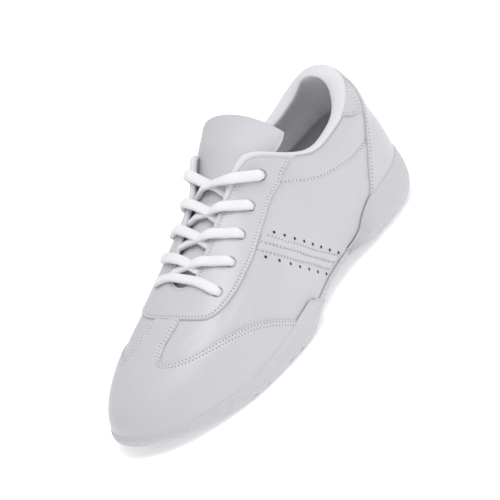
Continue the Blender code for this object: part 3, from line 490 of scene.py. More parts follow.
# %% [markdown]
# ## Finishes
# The leather is a coated split with a very fine pebble, almost smooth, and slightly uneven
# gloss. The rubber is matt with a fine knurl, the collar and the insole are knit, the lace is
# a round braid, and the lower tongue is an open mesh. Each pattern is a node group, so that
# several materials can share it with their own values.


# %% Node helpers
def new_group(name, inputs, outputs):
    """Empty shader node group with number sockets: inputs with their values, then outputs."""
    tree = bpy.data.node_groups.new(name, "ShaderNodeTree")
    for label, value in inputs:
        socket = tree.interface.new_socket(label, in_out="INPUT", socket_type="NodeSocketFloat")
        socket.default_value = value
    for label in outputs:
        tree.interface.new_socket(label, in_out="OUTPUT", socket_type="NodeSocketFloat")
    return tree, tree.nodes.new("NodeGroupInput").outputs, tree.nodes.new("NodeGroupOutput").inputs


def node(tree, kind, sockets=None, **settings):
    """Adds a node, sets its properties, and fills its sockets with values or links."""
    made = tree.nodes.new("ShaderNode" + kind)
    for key, value in settings.items():
        setattr(made, key, value)
    for key, value in (sockets or {}).items():
        if isinstance(value, bpy.types.NodeSocket):
            tree.links.new(value, made.inputs[key])
        else:
            made.inputs[key].default_value = value
    return made


def maths(tree, operation, a, b=0.0, c=0.0):
    return node(tree, "Math", {0: a, 1: b, 2: c}, operation=operation).outputs[0]


def slanting_waves(tree, inputs):
    """Two sines over the UV map: of along plus across, and of along less across."""
    parts = node(tree, "SeparateXYZ", {0: node(tree, "TexCoord").outputs["UV"]}).outputs
    along = maths(tree, "MULTIPLY", parts["X"], inputs["Along"])
    across = maths(tree, "MULTIPLY", parts["Y"], inputs["Across"])
    return [maths(tree, "SINE", maths(tree, sign, along, across)) for sign in ("ADD", "SUBTRACT")]


# %% Grain: pebbles of cell noise on a softer swell, both in the shoe's own coordinates
grain, grain_in, grain_out = new_group(
    "leather_grain", [("Pebble", 1100.0), ("Swell", 60.0)], ["Height", "Tone", "Gloss"])
spot = node(grain, "TexCoord").outputs["Object"]
cells = node(grain, "TexVoronoi", {"Vector": spot, "Scale": grain_in["Pebble"]}).outputs["Distance"]
fine = node(grain, "TexNoise", {"Vector": spot, "Scale": grain_in["Pebble"], "Detail": 4.0})
swell = node(grain, "TexNoise", {"Vector": spot, "Scale": grain_in["Swell"], "Detail": 3.0})
pebbles = maths(grain, "MULTIPLY_ADD", cells, 0.5, fine.outputs["Fac"])
grain.links.new(maths(grain, "MULTIPLY_ADD", swell.outputs["Fac"], 1.2, pebbles), grain_out["Height"])
grain.links.new(maths(grain, "MULTIPLY_ADD", swell.outputs["Fac"], 0.05, 0.975), grain_out["Tone"])
grain.links.new(maths(grain, "MULTIPLY_ADD", swell.outputs["Fac"], 0.12, -0.06), grain_out["Gloss"])

# %% Braid and knit: two sets of slanting threads that pass over and under each other
braid, braid_in, braid_out = new_group(
    "crossed_threads", [("Along", 1400.0), ("Across", 1400.0)], ["Height", "Tone"])
woven = maths(braid, "MAXIMUM", *slanting_waves(braid, braid_in))
braid.links.new(woven, braid_out["Height"])
# Painted shade: the tone is a little darker where the threads sink between each other.
braid.links.new(maths(braid, "MULTIPLY_ADD", woven, 0.06, 0.93), braid_out["Tone"])

# %% Knurl: fine parallel ridges that slant over the rubber, with a second faint set across
knurl, knurl_in, knurl_out = new_group(
    "rubber_knurl", [("Along", 4600.0), ("Across", 1600.0), ("Second", 0.5)], ["Height", "Tone"])
one, two = slanting_waves(knurl, knurl_in)
ridges = maths(knurl, "MULTIPLY_ADD", two, knurl_in["Second"], one)
knurl.links.new(ridges, knurl_out["Height"])
# Painted shade: the tone is a little darker in the grooves between the ridges.
knurl.links.new(maths(knurl, "MULTIPLY_ADD", ridges, 0.018, 0.97), knurl_out["Tone"])


# %% Materials
def plain_material(name, colour, roughness, coat=0.0, sheen=0.0):
    made = bpy.data.materials.new(name)
    made.use_nodes = True
    tree = made.node_tree
    shader = tree.nodes["Principled BSDF"]
    shader.inputs["Base Color"].default_value = (*colour, 1.0)
    shader.inputs["Roughness"].default_value = roughness
    shader.inputs["Coat Weight"].default_value = coat
    shader.inputs["Coat Roughness"].default_value = 0.35
    shader.inputs["Sheen Weight"].default_value = sheen
    return made, tree, shader


def toned(tree, shader, colour, tone):
    """Base colour times a tone, darkened by painted shade where the piece's dark mark is set."""
    marks = node(tree, "Attribute", attribute_name="dark").outputs["Fac"]
    light = maths(tree, "MULTIPLY", tone, maths(tree, "SUBTRACT", 1.0, marks))
    grey = node(tree, "CombineColor", {0: light, 1: light, 2: light}).outputs[0]
    mixed = node(tree, "Mix", {0: 1.0, 6: (*colour, 1.0), 7: grey}, data_type="RGBA",
                 blend_type="MULTIPLY")
    tree.links.new(mixed.outputs[2], shader.inputs["Base Color"])


def bumped(tree, shader, height, strength, distance):
    bump = node(tree, "Bump", {"Height": height, "Strength": strength, "Distance": distance})
    tree.links.new(bump.outputs["Normal"], shader.inputs["Normal"])


def finish_from(group, values, plain, strength, depth):
    """Material whose tone and bump come from a node group, over its plain settings."""
    made, tree, shader = plain_material(**plain)
    feel = node(tree, "Group", values, node_tree=group)
    toned(tree, shader, plain["colour"], feel.outputs["Tone"])
    if "Gloss" in feel.outputs:
        gloss = maths(tree, "ADD", feel.outputs["Gloss"], plain["roughness"])
        tree.links.new(gloss, shader.inputs["Roughness"])
    bumped(tree, shader, feel.outputs["Height"], strength, depth)
    return made


def leather_material(name, colour, roughness, pebble):
    plain = {"name": name, "colour": colour, "roughness": roughness, "coat": 0.12}
    return finish_from(grain, {"Pebble": pebble}, plain, 0.35, 0.00006)


def thread_material(name, colour, along, across, depth, sheen=0.3):
    plain = {"name": name, "colour": colour, "roughness": 0.85, "sheen": sheen}
    return finish_from(braid, {"Along": along, "Across": across}, plain, 0.8, depth)


def rubber_material(name, colour, along, across, second, depth):
    plain = {"name": name, "colour": colour, "roughness": 0.55}
    return finish_from(knurl, {"Along": along, "Across": across, "Second": second}, plain, 0.9, depth)


white_leather = leather_material("white_leather", (0.56, 0.55, 0.585), 0.41, 1500.0)
tongue_leather = leather_material("tongue_leather", (0.53, 0.52, 0.555), 0.50, 1300.0)
pod_rubber = rubber_material("pod_rubber", (0.60, 0.59, 0.625), 3700.0, 3700.0, 0.4, 0.00012)
strip_rubber = rubber_material("strip_rubber", (0.62, 0.61, 0.645), 3200.0, 2200.0, 0.0, 0.0002)
knit_fabric = thread_material("knit_lining", (0.78, 0.77, 0.805), 5200.0, 5200.0, 0.00012)
insole_fabric = thread_material("insole_cloth", (0.76, 0.76, 0.77), 5200.0, 5200.0, 0.0001)
lace_braid = thread_material("lace_braid", (0.90, 0.885, 0.92), 5200.0, 4200.0, 0.00014, sheen=0.4)
tongue_mesh = thread_material("tongue_mesh", (0.95, 0.94, 0.96), 4400.0, 4400.0, 0.0006)
thread_white = plain_material("sewing_thread", (0.78, 0.77, 0.79), 0.6)[0]
# Near-black discs for the needle holes and the perforations: painted shade inside the holes.
hole_shade = plain_material("painted_hole_shade", (0.025, 0.025, 0.03), 0.9)[0]
floor_finish, floor_tree, floor_shader = plain_material("pale_floor", (0.97, 0.97, 0.97), 0.9)
spot = node(floor_tree, "TexCoord").outputs["Object"]
mottle = node(floor_tree, "TexNoise", {"Scale": 3.0, "Vector": spot})
toned(floor_tree, floor_shader, (0.97, 0.97, 0.97),
      maths(floor_tree, "MULTIPLY_ADD", mottle.outputs["Fac"], 0.01, 0.99))
floor_shader.inputs["Emission Color"].default_value = (1.0, 1.0, 1.0, 1.0)
floor_shader.inputs["Emission Strength"].default_value = 0.32
floor_mesh.materials.append(floor_finish)

# %% [markdown]
# ## Upper
# The vamp and the quarters are one skin on the last. Soft leather never lies as smooth as the
# last: it creases where the foot bends and dips along each seam. Creases are listed one by one,
# each a long trough with a low ridge on both sides, by the place of its middle, its length,
# its width, its turn and its depth.

# %% Creases and seam lines
Crease = namedtuple("Crease", "row up inner length width turn depth")
CREASES = (
    Crease(8.9, 0.60, False, 0.016, 0.0040, 20, 0.0005),
    Crease(8.2, 0.52, False, 0.018, 0.0055, 35, 0.0004),
    Crease(7.3, 0.56, False, 0.016, 0.0060, 60, 0.0004),
    Crease(6.2, 0.45, False, 0.026, 0.0080, 80, 0.0005),
    Crease(4.6, 0.45, False, 0.022, 0.0070, 60, 0.0004),
    Crease(3.4, 0.30, False, 0.020, 0.0060, 30, 0.0003),
    Crease(10.6, 0.66, False, 0.010, 0.0030, 10, 0.0003),
    Crease(9.0, 0.58, True, 0.016, 0.0040, -20, 0.0005),
    Crease(8.2, 0.50, True, 0.018, 0.0055, -35, 0.0004),
    Crease(6.5, 0.45, True, 0.026, 0.0080, -80, 0.0005),
    Crease(4.6, 0.45, True, 0.022, 0.0070, -60, 0.0004),
)


def crease_relief(points):
    """Sum of the creases: a Gauss bell along, a narrow trough with two faint ridges across."""
    total = np.zeros(points.shape[:-1])
    for c in CREASES:
        at, up = np.array([share_at(c.row, c.inner)]), np.array([c.up])
        middle, normal = bare_skin(at, up)[0], bare_normal(at, up)[0]
        level_way = unit(np.cross(UPWARD, normal))
        long_way = cos(radians(c.turn)) * level_way + sin(radians(c.turn)) * np.cross(normal, level_way)
        offset = points - middle
        u = (offset @ long_way) / c.length
        v = (offset @ np.cross(normal, long_way)) / c.width
        w = (offset @ normal) / 0.02
        total += c.depth * np.exp(-u * u - w * w) * (0.6 * v * v - 1) * np.exp(-v * v)
    return total


def lined(table, inner, count=120):
    """Even line over the skin through a few points, each a row and a share up."""
    t, knots = np.linspace(0, 1, count), np.linspace(0, 1, len(table))
    rows, ups = (flow(t, knots, column) for column in zip(*table))
    return even_line(share_at(rows, inner), ups, count)


COLLAR_SEAM = ((1.9, 0.545), (2.34, 0.591), (3.03, 0.648), (3.82, 0.736), (4.77, 0.767), (5.42, 0.767))
BAND_TOP = ((7.00, 0.626), (6.33, 0.470), (5.57, 0.331), (4.90, 0.165), (4.50, 0.025))
BAND_BOTTOM = ((7.42, 0.614), (6.88, 0.475), (6.25, 0.339), (5.56, 0.195), (5.00, 0.030))


def band_line(share, inner, count=90):
    """Line down the quarter at a share of the way between the two borders of the bands."""
    return lined((1 - share) * np.array(BAND_TOP) + share * np.array(BAND_BOTTOM), inner, count)


def relief(at, up):
    """Creases of the skin, without its seams."""
    return crease_relief(bare_skin(at, up))


# %% Upper: a shell round the last, with a dip along each collar seam
SEAM_DIP, SEAM_DIP_WIDTH = 0.0006, 0.0013


def build_upper():
    even = np.arange(400) / 400
    at = (even - 0.45 * np.sin(4 * pi * even) / (4 * pi))[:, None]
    up = np.linspace(0, 1, 72)[None, :]
    at, up = np.broadcast_arrays(at, up)
    points = bare_skin(at, up)
    lift = crease_relief(points)
    for inner in (False, True):
        distance = nearest(points, skin(*lined(COLLAR_SEAM, inner)))
        lift -= SEAM_DIP * np.exp(-((distance / SEAM_DIP_WIDTH) ** 2))
    return shell("upper_skin", skin(at, up, lift), skin(at, up, -UPPER_WALL), white_leather, loop=True)


settle(build_upper(), "white_leather", "upper")

# %% [markdown]
# ## Overlays
# The eyestay, the T over the toe, the counter, the heel tab and the two bands are separate
# pieces of leather. The edge of each is turned and rolls down to the skin, a stitch line pulls
# it in about two millimetres from the edge, and the middle stays a little proud. The height
# comes from each point's distance to the outline.

# %% Panel profile
PANEL = 0.0012


def panel_height(distance, thickness=PANEL, seams=(0.0018,), roll=0.0007, pull=0.0004):
    """Quarter-round edge, then level, less a narrow dip at each seam's distance."""
    inside = np.clip(1 - distance / roll, 0, 1)
    height = thickness * np.sqrt(1 - inside**2)
    for seam in seams:
        height = height - pull * np.exp(-(((distance - seam) / 0.0005) ** 2))
    return height


def panel(name, at, up, edges, under=-0.0004, dips=(), **profile):
    """Closed overlay on a grid of shares, with its outline and its dips, such as eyelets. Its dark mark
    is painted shade along the outline and in the dips.
    """
    base = relief(at, up)
    points = skin(at, up, base)
    inside = nearest(points, np.vstack(edges))
    lift = panel_height(inside, **profile)
    # Painted shade: a faint dark line along the outline, where the turned edge meets the skin.
    dark = 0.10 * np.exp(-((inside / 0.0004) ** 2))
    for centre, radius, depth in dips:
        distance = nearest(points, centre[None])
        hole = ease((radius - distance) / 0.0004 + 0.5)
        lift = lift * (1 - hole) - depth * hole
        # Painted shade: the eyelet pits are made near-black.
        dark = np.maximum(dark, 0.98 * hole)
    inner = skin(at, up, base + np.minimum(under, lift - 0.0004))
    return shell(name, skin(at, up, base + lift), inner, white_leather, dark=dark)


def crowded(count, crowd):
    """Steps from 0 to 1 that a sine draws closer together at both ends."""
    even = np.linspace(0, 1, count)
    return even - crowd * np.sin(2 * pi * even) / (2 * pi)


def across_grid(at, low, high, columns, crowd=0.9):
    """Columns from a low to a high line, closer together at both edges."""
    t = crowded(columns, crowd)[None, :]
    at = np.broadcast_to(at[:, None], (len(at), columns))
    return at, low[:, None] * (1 - t) + high[:, None] * t


# %% Eyestay with its eyelets
EYESTAY = (
    (4.58, 1.000), (4.78, 0.930), (5.11, 0.850), (5.62, 0.733), (6.45, 0.668), (7.20, 0.640),
    (7.75, 0.616), (8.40, 0.622), (8.90, 0.642), (9.50, 0.670), (10.15, 0.717), (10.80, 0.775),
    (11.50, 0.824), (12.00, 0.840),
)
EYESTAY_INNER = EYESTAY[:9] + (
    (9.60, 0.705), (10.32, 0.775), (11.00, 0.815), (11.60, 0.838), (12.00, 0.840))
EYELETS = ((5.93, 0.843, 0.843), (6.90, 0.792, 0.792), (7.65, 0.774, 0.780),
           (8.40, 0.767, 0.810), (9.33, 0.774, 0.850))
EYELET_RADIUS, EYELET_DEPTH, OVER_EDGE = 0.0027, 0.0030, -0.0022


def eyelet_places(inner):
    """Centre, normal and share round of each eyelet, the top one first."""
    rows, outer_up, inner_up = np.array(EYELETS).T
    at, up = share_at(rows, inner), inner_up if inner else outer_up
    return skin(at, up), bare_normal(at, up), at


def eyestay_line(count=520):
    rows = np.linspace(EYESTAY[0][0], LAST_ROW, 400)
    at, low = both_sides(rows, smooth_steps(rows, *zip(*EYESTAY)))
    inner_low = both_sides(rows, smooth_steps(rows, *zip(*EYESTAY_INNER)))[1]
    return even_line(at, np.where(at > share_at(LAST_ROW), inner_low, low), count)


def build_eyestay():
    at, low = eyestay_line()
    grid_at, grid_up = across_grid(at, low, np.ones(len(at)), 72)
    edge = skin(at, low)
    rim = skin(at, np.ones(len(at)))
    dips = [(place, EYELET_RADIUS, EYELET_DEPTH)
            for inner in (False, True) for place in eyelet_places(inner)[0]]
    return panel("eyestay_panel", grid_at, grid_up, [edge, rim], under=OVER_EDGE, dips=dips)


settle(build_eyestay(), "white_leather", "eyestay")

# %% T-shaped overlay of the toe
TOE_SIDE = (
    (6.85, 0.062), (7.25, 0.152), (7.80, 0.266), (8.20, 0.334), (8.70, 0.408), (9.50, 0.497),
    (10.35, 0.543),
)
STEM_OUTER = ((11.10, 0.560), (11.45, 0.575), (11.64, 0.597), (11.71, 0.645), (11.72, 0.840))
STEM_INNER = ((10.62, 0.553), (10.78, 0.560), (10.90, 0.582), (11.08, 0.660), (11.32, 0.840))
TOE_SEAMS = (0.0012, 0.0032)
STEM_LEAN = share_at(11.72) - share_at(11.44)
STEM_ROOT, STEM_RISE = 0.68, 0.16


def leaned(at, up):
    """Shares round of the stem: its outer edge leans out on its way up to the eyestay."""
    near, far = share_at(STEM_OUTER[-1][0]), share_at(STEM_INNER[-1][0], True)
    weight = np.clip((far - at) / (far - near), 0, 1)
    return at - STEM_LEAN * weight * ease((up - STEM_ROOT) / STEM_RISE)


def toe_side(stem, inner, count):
    """Shares round and up of the toe's edge on one side, from the sole to the eyestay."""
    outline = TOE_SIDE + stem
    corner, last = stem[1][0], stem[-1][0]
    rows = np.concatenate([np.linspace(outline[0][0], corner, count),
                           np.linspace(corner, last, count + 1)[1:]])
    return share_at(rows, inner), smooth_steps(rows, *zip(*outline))


def toe_line(inner, count=600):
    """Even points along one edge of the T, always with the outer side first."""
    at, up = even_line(*toe_side(STEM_INNER if inner else STEM_OUTER, inner, 1200), count)
    at = leaned(at, up)
    return (at[::-1], up[::-1]) if inner else (at, up)


def build_toe():
    at_out, up_out = even_line(*toe_side(STEM_OUTER, False, 900), 230)
    at_in, up_in = even_line(*toe_side(STEM_INNER, True, 900), 230)
    across = np.linspace(at_out[-1], at_in[-1], 30)[1:-1]
    at = np.concatenate([at_out, across, at_in[::-1]])
    high = np.concatenate([up_out, up_out[-1] + 0 * across, up_in[::-1]])
    grid_at, grid_up = across_grid(at, 0.02 + 0 * at, high, 72, crowd=0.6)
    edges = [skin(*toe_line(inner, 900)) for inner in (False, True)]
    return panel("toe_overlay_panel", leaned(grid_at, grid_up), grid_up, edges, seams=TOE_SEAMS,
                 pull=0.00035)


settle(build_toe(), "white_leather", "toe_overlay")

# %% Heel counter and heel tab
COUNTER = ((3.16, 0.060), (3.00, 0.200), (2.69, 0.403), (2.44, 0.520), (2.08, 0.658),
           (1.76, 0.742), (1.49, 0.790), (1.15, 0.840), (0.92, 0.900), (0.85, 0.960))
TAB = ((0.00, 0.970), (1.32, 0.970), (1.44, 0.955), (1.55, 0.915), (1.64, 0.868), (1.73, 0.842),
       (1.87, 0.838), (2.05, 0.868), (2.22, 0.925), (2.44, 1.000))


def counter_side(inner, count=80):
    """Front edge of the counter, from the sole up to its narrow end below the tab."""
    ups = np.linspace(COUNTER[0][1], COUNTER[-1][1], count)
    rows = smooth_steps(ups, [p[1] for p in COUNTER], [p[0] for p in COUNTER])
    return share_at(rows, inner) - (1 if inner else 0), ups


def build_counter():
    (out_at, up), (in_at, _) = counter_side(False), counter_side(True)
    t = crowded(150, 0.75)[:, None]
    grid_at = in_at[None] * (1 - t) + out_at[None] * t
    edge = [skin(grid_at[k], up) for k in (0, -1)]
    return panel("heel_counter_panel", grid_at, np.broadcast_to(up, grid_at.shape), edge)


def tab_line(count=240):
    rows = np.linspace(-TAB[-1][0], TAB[-1][0], 2400)
    return even_line(round_heel(rows), smooth_steps(np.abs(rows), *zip(*TAB)), count)


def build_tab():
    at, low = tab_line()
    grid_at, grid_up = across_grid(at, low, np.ones(len(at)), 36)
    return panel("heel_tab_panel", grid_at, grid_up, [skin(at, low)], under=OVER_EDGE,
                 seams=(0.0015,))


settle(build_counter(), "white_leather", "heel_counter")
settle(build_tab(), "white_leather", "heel_tab")


# %% Bands on the quarters, a low roll of leather between each two stitch rows
def build_band(side, inner, number, shares):
    lines = [band_line(share, inner) for share in np.linspace(*shares, 14)]
    grid_at, grid_up = (np.stack([line[k] for line in lines], 1) for k in (0, 1))
    edges = [skin(grid_at[:, k], grid_up[:, k]) for k in (0, -1)]
    return panel(f"quarter_band_{side}_{number}_panel", grid_at, grid_up, edges,
                 thickness=0.0006, seams=(), roll=0.0016)


for side, inner in (("outer", False), ("inner", True)):
    for number, shares in enumerate(((0.05, 0.47), (0.53, 0.95)), 1):
        settle(build_band(side, inner, number, shares), "white_leather", f"quarter_band_{side}_{number}")

# %% [markdown]
# ## Sole
# Two rubber pods stand on the ground, one under the heel and one under the forefoot, and a thin
# midsole joins them under the arch. Each pod is lofted from rings that go once round its
# section: across the underside, up the outer wall, over the lip, across the floor and down the
# inner wall. The wall follows a short table of flare and tuck, and its lip leans on the upper.

# %% Sole tables and sections
SOLE_EDGE, SOLE_FLARE, TOE_SPRING, SOLE_LIP = 0.027, 0.006, 0.0075, 0.0016
MIDSOLE, INSOLE = 0.0055, 0.0035
Side = namedtuple("Side", "along edge flare tuck ground")
HEEL_SIDE = (
    Side(0.012, 1.00, 0.60, 0.75, 0.75), Side(0.040, 1.00, 0.65, 0.95, 0.25),
    Side(0.070, 0.98, 0.65, 1.05, 0.00), Side(0.195, 0.90, 0.60, 1.30, 0.00),
    Side(0.235, 0.75, 0.55, 1.20, 0.10), Side(0.270, 0.52, 0.35, 0.90, 0.50),
    Side(0.320, 0.44, 0.15, 0.60, 0.95),
)
FORE_SIDE = (
    Side(0.500, 0.46, 1.00, -0.30, 0.95), Side(0.535, 0.58, 1.00, -0.20, 0.50),
    Side(0.580, 0.58, 0.90, 0.00, 0.06), Side(0.640, 0.52, 0.75, 0.15, 0.00),
    Side(0.770, 0.42, 0.60, 0.25, 0.00), Side(0.860, 0.42, 0.50, 0.30, 0.22),
    Side(0.940, 0.48, 0.45, 0.40, 0.60), Side(0.976, 0.54, 0.45, 0.45, 0.80),
)
POD_WALL = ((0.00, 0.00, 1.00), (0.10, 0.45, 0.35), (0.42, 0.90, 0.00), (0.66, 1.00, 0.00))
MIDSOLE_DEPTH = ((0.0, 1.00), (0.20, 0.95), (0.32, 0.62), (0.50, 0.55), (0.62, 0.45), (1.0, 0.36))
GROOVES = (0.095, 0.170, 0.625, 0.665, 0.745, 0.785)
GROOVE_DEPTH, GROOVE_SLOPE, UNDERSIDE = 0.0016, 0.0012, 0.0025
ARCH_STAND_OUT = 0.0015


def along_of(point):
    return (HEEL_REST - point[..., 1]) / SOLE_LENGTH


def side_values(table, along, column):
    return smooth_steps(along, [s.along for s in table], [getattr(s, column) for s in table])


def midsole_bottom(point):
    return point[:, 2] - smooth_steps(along_of(point), *zip(*MIDSOLE_DEPTH)) * MIDSOLE


def beside(point, outward, offset, height):
    """Points beside the feather line, level by level: a column for each offset and height."""
    moved = point[:, None] + outward[:, None] * offset[..., None]
    moved[..., 2] = height
    return moved


def pod_section(at, table):
    """Half section of a pod at its stations, from its underside's outline up to its floor."""
    point, outward = plan(at)
    along = along_of(point)
    ground = (side_values(table, along, "ground") * TOE_SPRING)[:, None]
    edge = np.maximum(side_values(table, along, "edge") * SOLE_EDGE, point[:, 2] + PIECE_GAP)
    flare = (side_values(table, along, "flare") * SOLE_FLARE)[:, None]
    tuck = (side_values(table, along, "tuck") * SOLE_FLARE)[:, None]
    heights, flares, tucks = zip(*POD_WALL)
    level = np.linspace(0, 1, 12) ** 1.4 * heights[-1]
    offset = flare * smooth_steps(level, heights, flares) - tuck * smooth_steps(level, heights, tucks)
    wall = beside(point, outward, offset, ground + (edge[:, None] - ground) * level)
    share = share_up(at, edge)
    inner_top = skin(at, share, PIECE_GAP)
    outer_top = skin(at, share, PIECE_GAP + SOLE_LIP)
    outer_top[:, 2] = inner_top[:, 2] - SOLE_LIP / 3
    t = np.linspace(0, 1, 9)[1:, None]
    start, end = wall[:, -1:], outer_top[:, None]
    bulge = start * [0.7, 0.7, 0.25] + end * [0.3, 0.3, 0.75]
    shoulder = (1 - t) ** 2 * start + 2 * t * (1 - t) * bulge + t * t * end
    t = np.array([0.25, 0.5, 0.75, 1.0])[None, :, None]
    lip = end * (1 - t) + inner_top[:, None] * t
    lip[..., 2] += SOLE_LIP * 0.35 * np.sin(pi * t[..., 0])
    foot = point + outward * PIECE_GAP
    floor_end = foot.copy()
    floor_end[:, 2] = midsole_bottom(point) - PIECE_GAP
    down = np.stack([skin(at, share / 2, PIECE_GAP), foot, floor_end], 1)
    return np.concatenate([wall, shoulder, lip, down], 1)


def sole_rings(outer, inner, rungs=14):
    """Rings from two half sections: underside, outer half up, floor, inner half down."""
    t = np.linspace(0, 1, rungs + 2)[1:-1, None]
    middle = (outer[:, :1] + inner[:, :1]) / 2
    out_way = middle * (1 - t) + outer[:, :1] * t
    in_way = inner[:, :1] * (1 - t) + middle * t
    floor_way = outer[:, -1:] * (1 - t) + inner[:, -1:] * t
    return np.concatenate([middle, out_way, outer, floor_way, inner[:, ::-1], in_way], 1)


WELD_DISTANCE = 2e-6


def weld(made):
    """Merges the vertices that meet at a pole or a cap."""
    bpy.ops.object.select_all(action="DESELECT")
    bpy.context.view_layer.objects.active = made
    made.select_set(True)
    bpy.ops.object.mode_set(mode="EDIT")
    bpy.ops.mesh.select_all(action="SELECT")
    bpy.ops.mesh.remove_doubles(threshold=WELD_DISTANCE)
    bpy.ops.object.mode_set(mode="OBJECT")
    made.select_set(False)
    return made


def share_along(along, inner):
    """Share of the loop where one side of the feather line passes a distance from the heel."""
    at = np.linspace(0.5, 1.0, 2000)[::-1] if inner else np.linspace(0, 0.5, 2000)
    return float(np.interp(along, along_of(plan(at)[0]), at))


# %% Pods, midsole and insole
def cut_grooves(rings):
    """Flex grooves: lifts the underside where it passes one."""
    underside = rings[..., 2] < UNDERSIDE
    along = along_of(rings) * SOLE_LENGTH
    depth = sum(ease(1.5 - np.abs(along - g * SOLE_LENGTH) / GROOVE_SLOPE) for g in GROOVES)
    rings[..., 2] += np.where(underside, GROOVE_DEPTH * np.clip(depth, 0, 1), 0)
    return rings


def build_pod(name, table, *sides):
    """Pod through two lines of stations, along the outer and along the inner side."""
    rings = cut_grooves(sole_rings(*(pod_section(at, table) for at in sides)))
    return weld(surface(name, rings, pod_rubber, ring=True, caps=True))


def build_heel_pod():
    """From the back of the heel to the pod's front end on both sides."""
    t, last = np.linspace(0, 1, 200), HEEL_SIDE[-1].along
    return build_pod("heel_pod", HEEL_SIDE, t * share_along(last, False),
                     1 - t * (1 - share_along(last, True)))


def build_forefoot_pod():
    """From the pod's back end on both sides to the tip of the toe."""
    t, first = np.linspace(0, 1, 320), FORE_SIDE[0].along
    return build_pod("forefoot_pod", FORE_SIDE, *(
        share_along(first, inner) * (1 - t) + KNOTS[LAST_ROW] * t for inner in (False, True)))


def layer_section(at, bottom, top, stand_out, corner=0.0006):
    """Half section of a flat layer with rounded edges."""
    point, outward = plan(at)
    turn = np.linspace(-pi / 2, pi / 2, 9)
    offset = stand_out[:, None] + corner * (np.cos(turn) - 1)[None]
    middle = turn / (pi / 2)
    swing = np.sign(middle) * np.abs(middle) ** 0.5
    height = (bottom + top)[:, None] / 2 + (top - bottom)[:, None] / 2 * swing
    return beside(point, outward, offset, height)


def build_layer(name, section, finish):
    t = crowded(220, 0.6)
    rings = sole_rings(section(t * KNOTS[LAST_ROW]), section(1 - t * (1 - KNOTS[LAST_ROW])), 10)
    return weld(surface(name, rings, finish, ring=True, caps=True))


def midsole_section(at):
    point = plan(at)[0]
    along = along_of(point)
    free = (ease((along - HEEL_SIDE[-1].along + 0.005) / 0.02)
            * ease((FORE_SIDE[0].along + 0.005 - along) / 0.02))
    stand_out = ARCH_STAND_OUT * free - PIECE_GAP
    return layer_section(at, midsole_bottom(point), point[:, 2] - PIECE_GAP, stand_out)


def insole_section(at):
    point = plan(at)[0]
    inset = np.full(len(at), -UPPER_WALL - 2 * PIECE_GAP)
    return layer_section(at, point[:, 2], point[:, 2] + INSOLE, inset, 0.0012)


settle(build_heel_pod(), "white_rubber", "heel_outsole")
settle(build_forefoot_pod(), "white_rubber", "forefoot_outsole")
settle(build_layer("midsole_strip", midsole_section, strip_rubber), "white_rubber", "midsole")
settle(build_layer("insole_pad", insole_section, insole_fabric), "insole_fabric", "insole")

# %% [markdown]
# ## Tongue and collar
# The tongue is a thin open mesh under the laces and a padded leather cushion above them, with
# its edges turned to the back. The collar is knit over foam: a roll that covers the edge of the
# leather, thin at the front and fuller round the heel, and a soft lining inside.

# %% Tongue: shares along, of the height, the half width, its drop, shift and tilt, and padding
TONGUE_WIDTH, TONGUE_PAD, TONGUE_MESH = 0.054, 0.0075, 0.0026
TONGUE = (
    (0.742, 0.515, 0.300, 0.026, 0.000, 0.00, 0.0),
    (0.688, 0.588, 0.315, 0.037, 0.000, 0.00, 0.0),
    (0.625, 0.690, 0.335, 0.059, 0.000, 0.00, 0.0),
    (0.555, 0.774, 0.350, 0.087, 0.000, 0.00, 0.0),
    (0.477, 0.883, 0.375, 0.115, -0.005, 0.04, 0.1),
    (0.414, 0.981, 0.400, 0.105, -0.035, 0.10, 0.6),
    (0.367, 1.045, 0.462, 0.105, -0.050, 0.14, 1.0),
    (0.331, 1.072, 0.493, 0.100, -0.060, 0.15, 1.0),
    (0.308, 1.082, 0.512, 0.092, -0.068, 0.16, 0.8),
    (0.294, 1.084, 0.510, 0.085, -0.070, 0.16, 0.3),
)


PAD_START, PAD_END, MESH_END = 0.38, 0.94, 0.50


def tongue_values(t):
    """Columns of the table at shares of the way up the tongue."""
    knots = np.linspace(0, 1, len(TONGUE))
    return [smooth_steps(t, knots, column) for column in zip(*TONGUE)]


def tongue_surface(t, across):
    """Top face of the tongue and its thickness, on a grid."""
    along, crown, half, drop, shift, tilt, pad = (column[:, None] for column in tongue_values(t))
    a = across[None, :]
    x = (a * half + shift) * TONGUE_WIDTH
    y = HEEL_REST - along * SOLE_LENGTH + 0 * a
    z = (crown - drop * a**2) * UPPER_HEIGHT - tilt * x
    return np.stack([x, y, z], 2), TONGUE_MESH + pad * (TONGUE_PAD - TONGUE_MESH)


def build_tongue_pad():
    t, across = np.linspace(PAD_START, 1, 130), np.linspace(-1, 1, 90)
    top, thick = tongue_surface(t, across)
    end = np.sqrt(np.clip(1 - ((t[:, None] - PAD_END) / 0.06).clip(0) ** 2, 0.0, 1))
    start = ease((t[:, None] - PAD_START) / 0.06)
    side = np.sqrt(np.clip(1 - np.abs(across[None]) ** 6, 0.0, 1))
    body = side * end * (0.25 + 0.75 * start)
    outer, inner = (top - UPWARD * (thick * (1 + way * body) / 2)[..., None] for way in (-1, 1))
    return shell("tongue_pad", outer, inner, tongue_leather)


def build_tongue_mesh():
    t, across = np.linspace(0, MESH_END, 90), np.linspace(-1, 1, 50)
    top, thick = tongue_surface(t, across)
    sunk = 0.0004 + thick * 0.2 * np.abs(across[None]) ** 6
    inner = top - UPWARD * (TONGUE_MESH - 0.0002)
    return shell("tongue_mesh", top - UPWARD * sunk[..., None], inner, tongue_mesh)


tongue_pad = settle(build_tongue_pad(), "tongue_leather", "tongue")
settle(build_tongue_mesh(), "tongue_leather", "tongue")


